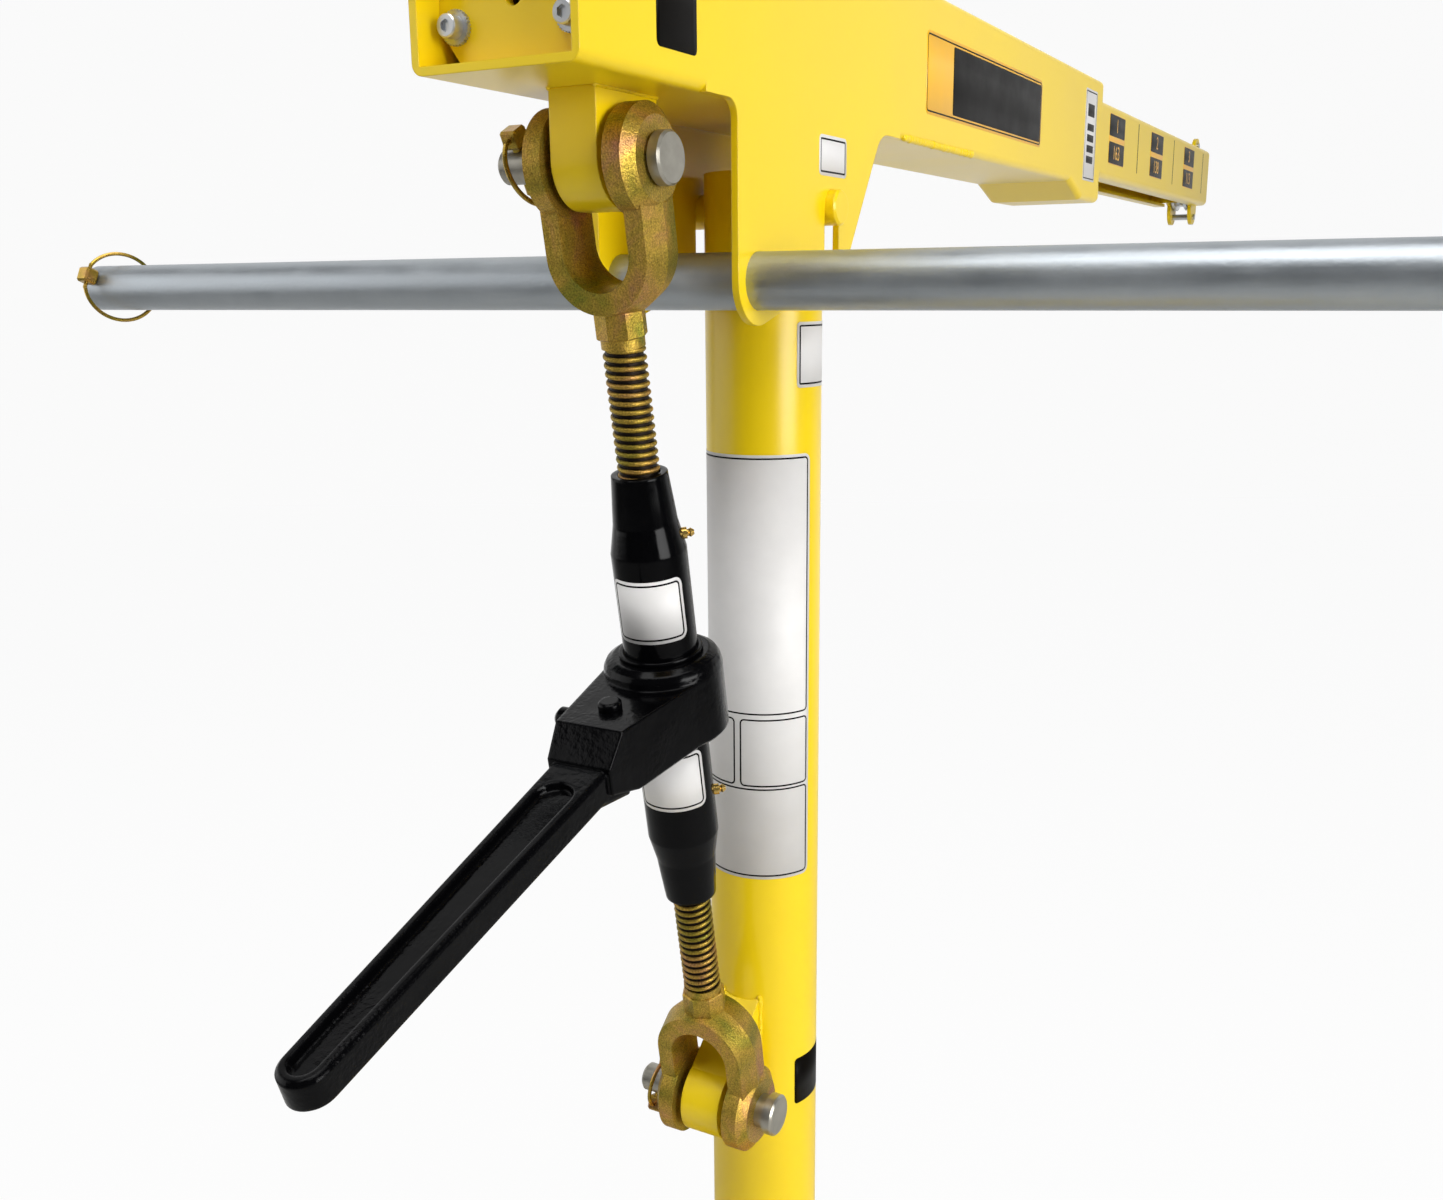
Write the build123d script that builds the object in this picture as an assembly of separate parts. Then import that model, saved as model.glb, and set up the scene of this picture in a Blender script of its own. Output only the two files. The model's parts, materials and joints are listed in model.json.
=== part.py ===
from build123d import *
import os
from math import asin, atan2, cos, degrees, hypot, pi, radians, sin

# Floor-mounted davit crane with a telescoping boom that a ratchet binder raises and lowers.
# Frame: +Z is the mast axis, +X is the way the boom points, and the origin is the centre of
# the base plate's underside.  All sizes are in millimetres.

# Mast and turning bar: standard pipe sizes that set the scale of the rest
MAST_OD = 88.9
MAST_WALL = 7.6
BAR_OD = 38.1
BAR_WALL = 4.0
BAR_HEIGHT = 1100.0
BAR_X = -117.0
BAR_HALF = 598.0

# Pivots in the XZ plane
PIVOT = (0.0, BAR_HEIGHT + 52.0)
UPPER_PIN = (-218.0, BAR_HEIGHT + 71.0)
LOWER_PIN = (-86.0, BAR_HEIGHT - 640.0)

# Pedestal
PLATE_SIDE = 457.0
PLATE_THICK = 22.0
ANCHOR_SPACING = 380.0
ANCHOR_R = 11.0
SOCKET_OD = 114.3
SOCKET_ID = 97.5
SOCKET_TOP = 258.0
MAST_FOOT = 42.0
MAST_TOP = BAR_HEIGHT + 78.0
RUN_GAP = 0.06

# Boom shell, a folded sheet box that drops at its front end
SHELL_HALF = 56.0
SHELL_WALL = 5.0
SHELL_REAR = -320.0
SHELL_FRONT = 790.0
SHELL_BOTTOM = BAR_HEIGHT + 111.0
SHELL_TOP = BAR_HEIGHT + 233.0
DROP_START = 659.0
DROP_END = 714.0
DROP_DEPTH = 18.0
BEND_R = 7.0
EAR_LOBE_R = 29.0
EAR_TOE = (26.0, BAR_HEIGHT + 10.0)
EAR_FRONT_TOP = (92.0, SHELL_BOTTOM)
PIVOT_R = 12.7
PIVOT_STUB = 8.0

# Extension, an inverted channel that slides in the shell
EXT_HALF = 46.0
EXT_WALL = 5.0
EXT_BOTTOM = BAR_HEIGHT + 127.0
EXT_TOP = BAR_HEIGHT + 217.0
EXT_REAR = 560.0
EXT_FRONT = 1598.0
EXT_LIP = 18.0
EXT_BEND_R = 3.0
SLIDE_GAP = 0.3

# Sheave head at the tip
SHEAVE = (1630.0, BAR_HEIGHT + 169.0)
SHEAVE_R = 48.0
SHEAVE_HALF = 12.0
CHEEK_IN = 14.0
CHEEK_OUT = 20.0
CHEEK_LOBE_R = 24.0
CHEEK_LOBE_Z = 48.0
AXLE_R = 8.0

# Clevises and pins
PIN_R = 11.0
PIN_SHOULDER_R = 13.2
PIN_HEAD_R = 16.0
PIN_HEAD = 8.0
PIN_FAR_END = 73.0
UPPER_PIN_PLAY = 2.0
LOWER_PIN_PLAY = 8.0
LYNCH_SET_BACK = 13.5
FORK_IN = 22.0
FORK_OUT = 40.5
EYE_R = 33.0
EYE_FACE_R = 25.0
EYE_BEVEL = 6.0
ARM_HALF = 19.0
ARM_DRAFT = 12.0
CROTCH = 74.0
FORK_END = 94.0
COLLAR_R = 15.5
COLLAR_END = 107.0
THREAD_START = 113.0
SCREW_R = 14.3
SCREW_CORE_R = 12.3
LUG_HALF = 16.5
LUG_R = 29.0
SLOT_LENGTH = 10.2
SLOT_R = 12.5

# Ratchet binder, measured along its own axis up from the lower pin
BINDER_LENGTH = hypot(UPPER_PIN[0] - LOWER_PIN[0], UPPER_PIN[1] - LOWER_PIN[1])
BARREL_MID = BINDER_LENGTH / 2
BARREL_HALF = 164.5
BARREL_R = 26.0
BARREL_END_R = 19.0
SCREW_INNER = 72.0
RATCHET_AT = BARREL_MID - 1.0
RATCHET_HALF = 24.5
RATCHET_R = 42.0
RATCHET_DOME = 11.5
RATCHET_DOME_R = 34.0
WASHER_R = 29.5
GEAR_R = 32.0
GEAR_ROOT_R = 28.5
GEAR_HALF = 11.0
GEAR_TEETH = 8
PAWL_R = 69.0
PAWL_ARM = 39.5
PAWL_SPREAD = 24.0
PAWL_TIP_R = 2.4
PAWL_PIN_R = 5.0
PAWL_STEM_X = 18.0
HANDLE_REACH = 367.0
HANDLE_DROOP = 6.6
HANDLE_HALF = 10.5
HANDLE_ROOT = 112.0
HANDLE_ROOT_W = 24.0
HANDLE_END_R = 15.5

# Hand winch on the boom's rear end
WINCH_X = -215.0
DRUM_Z = SHELL_TOP + 86.0
DRUM_R = 30.0
FLANGE_R = 60.0
WINCH_HALF = 54.0
WINCH_WALL = 6.0
GEAR_MODULE = 3.0
DRUM_TEETH = 44
PINION_TEETH = 12
MESH_ANGLE = 50.0
CRANK_ARM = 230.0
CRANK_ANGLE = 125.0


def xz(x, y, z, turn=0.0):
    """A location at a point whose local Z looks along -Y, so sketches read as X and Z."""
    return Plane(origin=(x, y, z), x_dir=(1, 0, 0), z_dir=(0, -1, 0)).location * Rot(0, 0, turn)


def y_rod(radius, y_low, y_high, at):
    """A round rod along Y through an (x, z) point."""
    return xz(at[0], y_high, at[1]) * Cylinder(radius, y_high - y_low, align=(Align.CENTER, Align.CENTER, Align.MIN))


def y_plate(sketch, y_low, y_high):
    """A sketch drawn in X and Z, made a plate between two Y values."""
    return extrude(xz(0, y_high, 0) * sketch, amount=y_high - y_low)


def disc(radius, at):
    """A circle in an X and Z sketch."""
    return Pos(at[0], at[1]) * Circle(radius)


def bar_between(first, second, half_width):
    """A straight strip with square ends between two sketch points."""
    run = hypot(second[0] - first[0], second[1] - first[1])
    angle = degrees(atan2(second[1] - first[1], second[0] - first[0]))
    middle = ((first[0] + second[0]) / 2, (first[1] + second[1]) / 2)
    return Pos(*middle) * Rot(0, 0, angle) * Rectangle(run, 2 * half_width)


def polar(centre, radius, angle):
    """The point at a radius and an angle in degrees from a centre."""
    return (centre[0] + radius * cos(radians(angle)), centre[1] + radius * sin(radians(angle)))


def closed(points):
    """A flat face from a loop of points."""
    return make_face(Polyline(*points, close=True))


# Pedestal
def base_plate():
    plate = Pos(0, 0, PLATE_THICK / 2) * Box(PLATE_SIDE, PLATE_SIDE, PLATE_THICK)
    plate = chamfer(plate.edges().filter_by(Axis.Z), 25)
    plate = fillet(plate.faces().sort_by(Axis.Z)[-1].edges(), 2)
    holes = GridLocations(ANCHOR_SPACING, ANCHOR_SPACING, 2, 2)
    return plate - holes * Cylinder(ANCHOR_R, 3 * PLATE_THICK)


def base_socket():
    height = SOCKET_TOP - PLATE_THICK
    tube = Cylinder(SOCKET_OD / 2, height) - Cylinder(SOCKET_ID / 2, height)
    return Pos(0, 0, PLATE_THICK + height / 2) * tube


def base_gussets():
    foot, top, lip, thick = 205.0, SOCKET_TOP - 60, 14.0, 10.0
    inner = SOCKET_OD / 2
    web = closed([(inner, PLATE_THICK), (foot, PLATE_THICK), (foot, PLATE_THICK + lip),
                  (inner + lip, top), (inner, top)])
    gusset = y_plate(web, -thick / 2, thick / 2)
    gusset -= Cylinder(inner, 3 * top)
    return [Rot(0, 0, 90 * k) * gusset for k in range(4)]


def socket_bushings():
    inner = MAST_OD / 2 + RUN_GAP
    lower = Pos(0, 0, 70) * (Cylinder(SOCKET_ID / 2, 50) - Cylinder(inner, 50))
    upper = Pos(0, 0, SOCKET_TOP - 25) * (Cylinder(SOCKET_ID / 2, 50) - Cylinder(inner, 50))
    flange = Pos(0, 0, SOCKET_TOP + 3) * (Cylinder(SOCKET_OD / 2 - 2, 6) - Cylinder(inner, 6))
    return [lower, upper + flange]


def thrust_disc():
    height = MAST_FOOT - PLATE_THICK - 0.1
    return Pos(0, 0, PLATE_THICK + height / 2) * Cylinder(SOCKET_ID / 2 - 0.5, height)


# Mast
def mast_tube():
    height = MAST_TOP - MAST_FOOT
    tube = Cylinder(MAST_OD / 2, height) - Cylinder(MAST_OD / 2 - MAST_WALL, height)
    tube = Pos(0, 0, MAST_FOOT + height / 2) * tube
    return tube - y_rod(PIVOT_R, -MAST_OD, MAST_OD, PIVOT)


def pivot_pin():
    reach = SHELL_HALF + PIVOT_STUB
    pin = y_rod(PIVOT_R, -reach, reach, PIVOT)
    return chamfer(pin.edges().filter_by(GeomType.CIRCLE), 1.5)


def mast_lug():
    px, pz = LOWER_PIN
    rise = 78.0
    side = disc(LUG_R, LOWER_PIN) + closed([(px - LUG_R * 0.8, pz + LUG_R * 0.6), (-30, pz + rise),
                                           (0, pz + rise), (0, pz - LUG_R), (px, pz - LUG_R)])
    lug = y_plate(side, -LUG_HALF, LUG_HALF)
    lug -= Cylinder(MAST_OD / 2, 4 * BAR_HEIGHT)
    return lug - y_rod(PIN_R + RUN_GAP, -LUG_HALF, LUG_HALF, LOWER_PIN)


# Ratchet binder
BINDER_TILT = atan2(LOWER_PIN[0] - UPPER_PIN[0], UPPER_PIN[1] - LOWER_PIN[1])
BINDER = Plane(origin=(LOWER_PIN[0], 0, LOWER_PIN[1]), x_dir=(cos(BINDER_TILT), 0, sin(BINDER_TILT)),
               z_dir=(-sin(BINDER_TILT), 0, cos(BINDER_TILT)))


def forged(sketch, draft):
    """Both halves of a forging about its parting plane, drafted away from it."""
    return sum((extrude(sketch, amount=side * ARM_HALF, taper=draft) for side in (-1, 1)), Part())


def clevis_screw():
    """A forged fork and its screw, pin at the origin and the screw running up local Z."""
    parting = Plane(origin=(0, 0, 0), x_dir=(0, 1, 0), z_dir=(1, 0, 0))
    outer = Rectangle(2 * FORK_OUT, FORK_END - FORK_OUT, align=(Align.CENTER, Align.MIN))
    outer += Pos(0, FORK_END - FORK_OUT) * Circle(FORK_OUT)
    inner = Rectangle(2 * FORK_IN, CROTCH - FORK_IN + 2 * EYE_R, align=(Align.CENTER, Align.MAX))
    inner = Pos(0, CROTCH - FORK_IN) * (inner + Circle(FORK_IN))
    fork = forged(parting * outer, ARM_DRAFT) - forged(parting * inner, -ARM_DRAFT / 2)
    rim = FORK_OUT - EYE_BEVEL
    for turn in (-90, 90):
        eye = Pos(0, 0, FORK_IN) * Cylinder(EYE_R, rim - FORK_IN, align=(Align.CENTER, Align.CENTER, Align.MIN))
        eye += Pos(0, 0, rim) * Cone(EYE_R, EYE_FACE_R, EYE_BEVEL, align=(Align.CENTER, Align.CENTER, Align.MIN))
        fork += Rot(turn, 0, 0) * eye
    fork -= Rot(90, 0, 0) * Cylinder(PIN_R, 4 * FORK_OUT)
    collar = extrude(RegularPolygon(COLLAR_R, 8, major_radius=False), amount=COLLAR_END - FORK_END + 12)
    collar = chamfer(collar.edges().group_by(Axis.Z)[-1], 1.0)
    tip = BINDER_LENGTH - BARREL_MID - SCREW_INNER
    shank = Pos(0, 0, FORK_END) * Cylinder(SCREW_R, THREAD_START - FORK_END, align=(Align.CENTER, Align.CENTER, Align.MIN))
    core = Pos(0, 0, FORK_END) * Cylinder(SCREW_CORE_R, tip - FORK_END, align=(Align.CENTER, Align.CENTER, Align.MIN))
    core = chamfer(core.edges().sort_by(Axis.Z)[-1], 2)
    return fork + Pos(0, 0, FORK_END - 12) * collar + shank + core


def clevis_pin(at, play, lynch):
    """A shouldered pin along Y, pushed a little out of its fork and cross-drilled for the lynch pin."""
    shank = y_rod(PIN_R, -FORK_OUT, PIN_FAR_END - play, at)
    shank = chamfer(shank.edges().sort_by(Axis.Y)[-1], 2)
    shoulder = y_rod(PIN_SHOULDER_R, -FORK_OUT - play, -FORK_OUT, at)
    head = y_rod(PIN_HEAD_R, -FORK_OUT - play - PIN_HEAD, -FORK_OUT - play, at)
    head = chamfer(head.edges().sort_by(Axis.Y)[0], 1.5)
    return shank + shoulder + head - lynch_hole(lynch)


LYNCH_R = 3.8
LYNCH_HEAD = 13.0
CLEVIS_REACH = 18.6
CLEVIS_RING_R = 23.0
CLEVIS_LYNCH = 38.0
BAR_REACH = 25.7
BAR_RING_R = 29.0
BAR_LYNCH = 47.5
BAR_LYNCH_INSET = 13.0
BAR_LYNCH_LEAN = -66.0
RING_WIRE = 1.6
UPPER_RING_LEAN = -17.0
LOWER_RING_LEAN = -10.0
BAR_RING_LEAN = 30.0


def lynch_frame(at, y, lean):
    """Local Z along the lynch pin towards its head, local Y along the pin that it locks."""
    return Plane(origin=(at[0], y, at[1]), x_dir=(cos(radians(lean)), 0, -sin(radians(lean))),
                 z_dir=(sin(radians(lean)), 0, cos(radians(lean))))


def lynch_hole(frame):
    return frame * Cylinder(LYNCH_R, 4 * PIN_HEAD_R)


def lynch_pin(frame, reach, length):
    """A straight pin with a square head, which stands a reach away from the locked pin's axis."""
    shank = Cylinder(LYNCH_R, length, align=(Align.CENTER, Align.CENTER, Align.MAX))
    shank = chamfer(shank.edges().sort_by(Axis.Z)[0], 2)
    head = Box(LYNCH_HEAD, LYNCH_HEAD, LYNCH_HEAD - 1)
    head = chamfer(head.edges(), 1.6)
    pin = Pos(0, 0, reach) * (shank + head)
    return frame * (pin - Pos(0, 0, reach) * Rot(0, 90, 0) * Cylinder(RING_WIRE + RUN_GAP, 30))


def lynch_ring(frame, reach, radius, lean):
    """A sprung wire ring hung in the head; it snaps over the locked pin."""
    half = LYNCH_HEAD / 2 + 3
    gap = degrees(asin(half / radius))
    drop = radius * cos(radians(gap))
    loop = Plane(origin=(0, 0, 0), x_dir=(1, 0, 0), z_dir=(0, 1, 0))
    wire = Pos(radius, 0, 0) * Rot(90, 0, 0) * RegularPolygon(RING_WIRE, 8)
    ring = loop.location * Rot(0, 0, -90 + gap) * revolve(wire, Axis.Z, 360 - 2 * gap)
    ring = Pos(0, 0, -drop) * ring + Rot(0, 90, 0) * Cylinder(RING_WIRE, 2 * (half + RING_WIRE))
    return frame * Pos(0, 0, reach) * Rot(lean, 0, 0) * ring


def binder_barrel():
    steps = [(SCREW_R + RUN_GAP, BARREL_HALF), (BARREL_END_R, BARREL_HALF), (BARREL_END_R + 2, BARREL_HALF - 22),
             (BARREL_END_R + 3, BARREL_HALF - 34), (BARREL_R, BARREL_HALF - 54)]
    relief = SCREW_R + 2.5
    bore = [(relief, BARREL_HALF - 52), (SCREW_R + RUN_GAP, BARREL_HALF - 48)]
    upper = steps + [(BARREL_R, 0), (relief, 0)] + bore
    half = revolve(Plane.XZ * closed(upper), Axis.Z)
    return BINDER * Pos(0, 0, BARREL_MID) * (half + mirror(half, Plane.XY))


def ratchet_gear():
    pitch = 2 * pi / GEAR_TEETH
    points = []
    for k in range(GEAR_TEETH):
        for radius, share in ((GEAR_ROOT_R, 0.36), (GEAR_R, 0.40), (GEAR_R, 0.60), (GEAR_ROOT_R, 0.64)):
            angle = pi + (k + share) * pitch
            points.append((radius * cos(angle), radius * sin(angle)))
    gear = extrude(closed(points), amount=GEAR_HALF, both=True) - Cylinder(BARREL_R, 4 * GEAR_HALF)
    return BINDER * Pos(0, 0, RATCHET_AT) * gear


def grease_fittings():
    """Two lubrication nipples screwed into the barrel on the mast side."""
    body = Cylinder(4, 7.5, align=(Align.CENTER, Align.CENTER, Align.MIN))
    neck = Pos(0, 0, 7.5) * Cylinder(2.4, 2, align=(Align.CENTER, Align.CENTER, Align.MIN))
    ball = Pos(0, 0, 8.4) * Cone(2.4, 3.2, 1.6, align=(Align.CENTER, Align.CENTER, Align.MIN))
    ball += Pos(0, 0, 10) * Cone(3.2, 1.6, 2.4, align=(Align.CENTER, Align.CENTER, Align.MIN))
    nipple = body + neck + ball
    barrel = binder_barrel()
    out = []
    for offset, seat in ((119.0, 19.5), (-80.0, 22.0)):
        place = Pos(0, 0, BARREL_MID + offset) * Rot(90, 0, 0) * Rot(0, 33, 0) * Pos(0, 0, seat)
        out.append(BINDER * place * nipple - barrel)
    return out


def thrust_washers():
    ring = Cylinder(WASHER_R, 3) - Cylinder(BARREL_R + RUN_GAP, 3)
    lift = RATCHET_HALF + RATCHET_DOME + 1.7
    return [BINDER * Pos(0, 0, RATCHET_AT + lift) * ring,
            BINDER * Pos(0, 0, RATCHET_AT - RATCHET_HALF - 1.7) * ring]


def pawl_room():
    """The hollow in the housing that the gear and the rocking pawl need."""
    room = Circle(GEAR_R + 1)
    back, side = -PAWL_R - 12.0, 30.0
    room += closed([(back, 12), (-40, side), (-20, side), (-20, -side), (-40, -side), (back, -12)])
    return extrude(room, amount=GEAR_HALF + 1, both=True)


def lever_arm():
    """The lever, dished on both faces; it droops a little from the housing."""
    root = -HANDLE_ROOT + 24
    lever = closed([(root, HANDLE_ROOT_W - 2), (root, -HANDLE_ROOT_W + 2), (-HANDLE_REACH, -HANDLE_END_R),
                    (-HANDLE_REACH, HANDLE_END_R)])
    lever += Pos(-HANDLE_REACH, 0) * Circle(HANDLE_END_R)
    lever = extrude(lever, amount=HANDLE_HALF, both=True)
    rims = lever.edges().group_by(Axis.Z)
    lever = chamfer(rims[-1] + rims[0], 2.5)
    start, wide, narrow, deep = -HANDLE_ROOT - 30, 14.0, 9.5, 5.0
    dish = closed([(start, wide), (start, -wide), (-HANDLE_REACH, -narrow), (-HANDLE_REACH, narrow)])
    dish += Pos(start, 0) * Circle(wide) + Pos(-HANDLE_REACH, 0) * Circle(narrow)
    for face, side in ((HANDLE_HALF, 1), (-HANDLE_HALF, -1)):
        lever -= Pos(0, 0, face) * extrude(dish, amount=-side * deep, taper=20)
    return Rot(0, -HANDLE_DROOP, 0) * Pos(0, 0, 6) * lever


def lever_neck():
    """The casting's smooth change from the housing's depth to the lever's."""
    deep = RectangleRounded(2 * RATCHET_HALF - 17, 2 * HANDLE_ROOT_W - 2, 4)
    thin = RectangleRounded(2 * HANDLE_HALF - 1, 2 * HANDLE_ROOT_W - 7, 4)
    near = Plane(origin=(-HANDLE_ROOT + 20, 0, -8.5), x_dir=(0, 0, 1), z_dir=(-1, 0, 0))
    run = HANDLE_ROOT + 12
    far = Plane(origin=(-run, 0, 6 - run * sin(radians(HANDLE_DROOP))), x_dir=(0, 0, 1), z_dir=(-1, 0, 0))
    return loft([near * deep, far * thin])


def ratchet_handle():
    """Ratchet housing and lever, one casting: local -X is the way the lever points."""
    hub = Cylinder(RATCHET_R, 2 * RATCHET_HALF)
    dome = [(0, 0), (RATCHET_R, 0), (RATCHET_R - 1, 5), (RATCHET_R - 3, 8.5), (RATCHET_DOME_R, RATCHET_DOME),
            (0, RATCHET_DOME)]
    dome = Pos(0, 0, RATCHET_HALF) * revolve(Plane.XZ * closed(dome), Axis.Z)
    block = closed([(0, -RATCHET_R), (0, RATCHET_R), (-22, RATCHET_R - 5), (-HANDLE_ROOT + 20, HANDLE_ROOT_W + 2),
                    (-HANDLE_ROOT, HANDLE_ROOT_W), (-HANDLE_ROOT, -HANDLE_ROOT_W),
                    (-HANDLE_ROOT + 20, -HANDLE_ROOT_W - 2), (-22, -RATCHET_R + 5)])
    block = extrude(block, amount=RATCHET_HALF, both=True)
    ramp = closed([(-HANDLE_ROOT + 18, RATCHET_HALF + 1), (-HANDLE_ROOT - 1, RATCHET_HALF - 20),
                   (-HANDLE_ROOT - 1, RATCHET_HALF + 1)])
    under = closed([(-HANDLE_ROOT + 34, -RATCHET_HALF), (-HANDLE_ROOT - 1, -RATCHET_HALF + 12),
                    (-HANDLE_ROOT - 1, -RATCHET_HALF - 1), (-HANDLE_ROOT + 34, -RATCHET_HALF - 1)])
    block -= y_plate(ramp, -RATCHET_R, RATCHET_R) + y_plate(under, -RATCHET_R, RATCHET_R)
    body = hub + block
    body = chamfer(body.edges().group_by(Axis.Z)[0], 3)
    boss = Cylinder(12, RATCHET_HALF + 9, align=(Align.CENTER, Align.CENTER, Align.MAX))
    boss = chamfer(boss.edges().sort_by(Axis.Z)[0], 3)
    body += dome + Pos(-PAWL_R, 0, 0) * boss + lever_neck() + lever_arm()
    body -= pawl_room()
    body -= Cylinder(BARREL_R + RUN_GAP, 6 * RATCHET_HALF)
    body -= Pos(-PAWL_R, 0, 0) * Cylinder(PAWL_PIN_R, 6 * RATCHET_HALF)
    window = Pos(-PAWL_R + PAWL_STEM_X, 38, 0) * Box(34, 52, 13)
    return BINDER * Pos(0, 0, RATCHET_AT) * (body - window)


def pawl_pin():
    low, high = -RATCHET_HALF - 9, RATCHET_HALF
    pin = Pos(0, 0, low) * Cylinder(PAWL_PIN_R, high - low, align=(Align.CENTER, Align.CENTER, Align.MIN))
    head = Pos(0, 0, high) * Cylinder(8, 6, align=(Align.CENTER, Align.CENTER, Align.MIN))
    head = chamfer(head.edges().sort_by(Axis.Z)[-1], 1.5)
    return BINDER * Pos(-PAWL_R, 0, RATCHET_AT) * (pin + head)


def ratchet_pawl():
    """A rocking pawl: either arm drops into the gear, and the middle is neutral."""
    pawl = Circle(9)
    for side in (-1, 1):
        tip = polar((0, 0), PAWL_ARM - PAWL_TIP_R, side * PAWL_SPREAD)
        pawl += bar_between((0, 0), tip, PAWL_TIP_R) + Pos(*tip) * Circle(PAWL_TIP_R)
    pawl = extrude(pawl, amount=GEAR_HALF - 1, both=True)
    neck, out = 6.0, 46.0
    stem = Cylinder(4, out - neck, align=(Align.CENTER, Align.CENTER, Align.MIN))
    knob = Pos(0, 0, out - neck) * Cylinder(8, 12, align=(Align.CENTER, Align.CENTER, Align.MIN))
    knob = chamfer(knob.edges().sort_by(Axis.Z)[-1], 3)
    pawl += Pos(PAWL_STEM_X, neck, 0) * Rot(-90, 0, 0) * (stem + knob)
    pawl -= Cylinder(PAWL_PIN_R + RUN_GAP, 80)
    return BINDER * Pos(-PAWL_R, 0, RATCHET_AT) * pawl


# Boom
def tangent_below(centre, radius, point):
    """Where a line from a point, passing under a circle, touches it."""
    dx, dz = centre[0] - point[0], centre[1] - point[1]
    run = hypot(dx, dz)
    angle = atan2(dz, dx) + asin(radius / run)
    reach = (run ** 2 - radius ** 2) ** 0.5
    return (point[0] + reach * cos(angle), point[1] + reach * sin(angle))


def ear_profile():
    lobe = (BAR_X, BAR_HEIGHT)
    rear = BAR_X - EAR_LOBE_R
    top = SHELL_BOTTOM + 14
    strip = 40.0
    touch = tangent_below(lobe, EAR_LOBE_R, EAR_TOE)
    side = closed([(rear - strip, top), (rear - strip, SHELL_BOTTOM), (rear, SHELL_BOTTOM), (rear, BAR_HEIGHT),
                   lobe, touch, EAR_TOE, EAR_FRONT_TOP, (EAR_FRONT_TOP[0] + strip, SHELL_BOTTOM),
                   (EAR_FRONT_TOP[0] + strip, top)])
    corners = side.vertices().filter_by(lambda v: abs(v.Z) < 1)
    rear_corner = corners.sort_by(lambda v: hypot(v.X - rear, v.Y - SHELL_BOTTOM))[0]
    side = fillet(rear_corner, 12)
    front_corner = side.vertices().sort_by(lambda v: hypot(v.X - EAR_FRONT_TOP[0], v.Y - SHELL_BOTTOM))[0]
    side = fillet(front_corner, 25)
    toe = side.vertices().sort_by(lambda v: hypot(v.X - EAR_TOE[0], v.Y - EAR_TOE[1]))[0]
    side = fillet(toe, 5)
    side += disc(EAR_LOBE_R, lobe)
    slot_r = PIVOT_R + RUN_GAP
    slot = disc(slot_r, PIVOT) + closed([(-slot_r, PIVOT[1]), (slot_r, PIVOT[1]), (slot_r, BAR_HEIGHT - 60),
                                         (-slot_r, BAR_HEIGHT - 60)])
    return side - slot - disc(BAR_OD / 2 + RUN_GAP, lobe)


def shell_profile(inset):
    bottom, top = SHELL_BOTTOM + inset, SHELL_TOP - inset
    drop = bottom - DROP_DEPTH
    return closed([(SHELL_REAR, bottom), (DROP_START, bottom), (DROP_END, drop), (SHELL_FRONT, drop),
                   (SHELL_FRONT, top), (SHELL_REAR, top)])


def boom_shell():
    box = y_plate(shell_profile(0), -SHELL_HALF, SHELL_HALF)
    long_edges = box.edges().filter_by(lambda e: abs(e.center().Y) > SHELL_HALF - 1)
    long_edges = long_edges.filter_by(lambda e: abs(e.tangent_at(0.5).X) > 0.5)
    box = fillet(long_edges, BEND_R)
    inner_half = SHELL_HALF - SHELL_WALL
    box -= y_plate(shell_profile(SHELL_WALL), -inner_half, inner_half)
    ear = ear_profile()
    box += y_plate(ear, inner_half, SHELL_HALF)
    box += y_plate(ear, -SHELL_HALF, -inner_half)
    return box - y_rod(LOCK_R + 0.5, inner_half - 5, SHELL_HALF + 5, LOCK_AT)


def boom_lug():
    front = (UPPER_PIN[0] + SLOT_LENGTH, UPPER_PIN[1])
    eye = disc(LUG_R, UPPER_PIN) + disc(LUG_R, front) + bar_between(UPPER_PIN, front, LUG_R)
    rise = SHELL_BOTTOM - UPPER_PIN[1]
    body = closed([(UPPER_PIN[0] - LUG_R, UPPER_PIN[1]), (front[0] + LUG_R, UPPER_PIN[1]),
                   (front[0] + LUG_R, UPPER_PIN[1] + rise), (UPPER_PIN[0] - LUG_R, UPPER_PIN[1] + rise)])
    lift = -0.55
    slot = disc(SLOT_R, (UPPER_PIN[0], UPPER_PIN[1] + lift)) + disc(SLOT_R, (front[0], front[1] + lift))
    slot += bar_between((UPPER_PIN[0], UPPER_PIN[1] + lift), (front[0], front[1] + lift), SLOT_R)
    lug = y_plate(eye + body, -LUG_HALF, LUG_HALF)
    return lug - y_plate(slot, -LUG_HALF, LUG_HALF)


REAR_PLATE_X = -300.0
REAR_PLATE_THICK = 8.0
REAR_SCREW_Y = 39.0
REAR_SCREW_Z = (BAR_HEIGHT + 138.0, BAR_HEIGHT + 206.0)


def rear_screw_places():
    return [(y, z) for y in (-REAR_SCREW_Y, REAR_SCREW_Y) for z in REAR_SCREW_Z]


def rear_plate():
    half = SHELL_HALF - SHELL_WALL
    low, high, cut = SHELL_BOTTOM + SHELL_WALL, SHELL_TOP - SHELL_WALL, 22.0
    face = closed([(-half, low + cut), (-half + 0.7 * cut, low), (half - 0.7 * cut, low), (half, low + cut),
                   (half, high), (-half, high)])
    plane = Plane(origin=(REAR_PLATE_X, 0, 0), x_dir=(0, 1, 0), z_dir=(1, 0, 0))
    plate = extrude(plane * face, amount=REAR_PLATE_THICK)
    plate -= Pos(REAR_PLATE_X, 0, BAR_HEIGHT + 152) * Rot(0, 90, 0) * Cylinder(6, 40)
    for y, z in rear_screw_places():
        plate -= Pos(REAR_PLATE_X, y, z) * Rot(0, 90, 0) * Cylinder(4, 40)
    return plate


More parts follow.
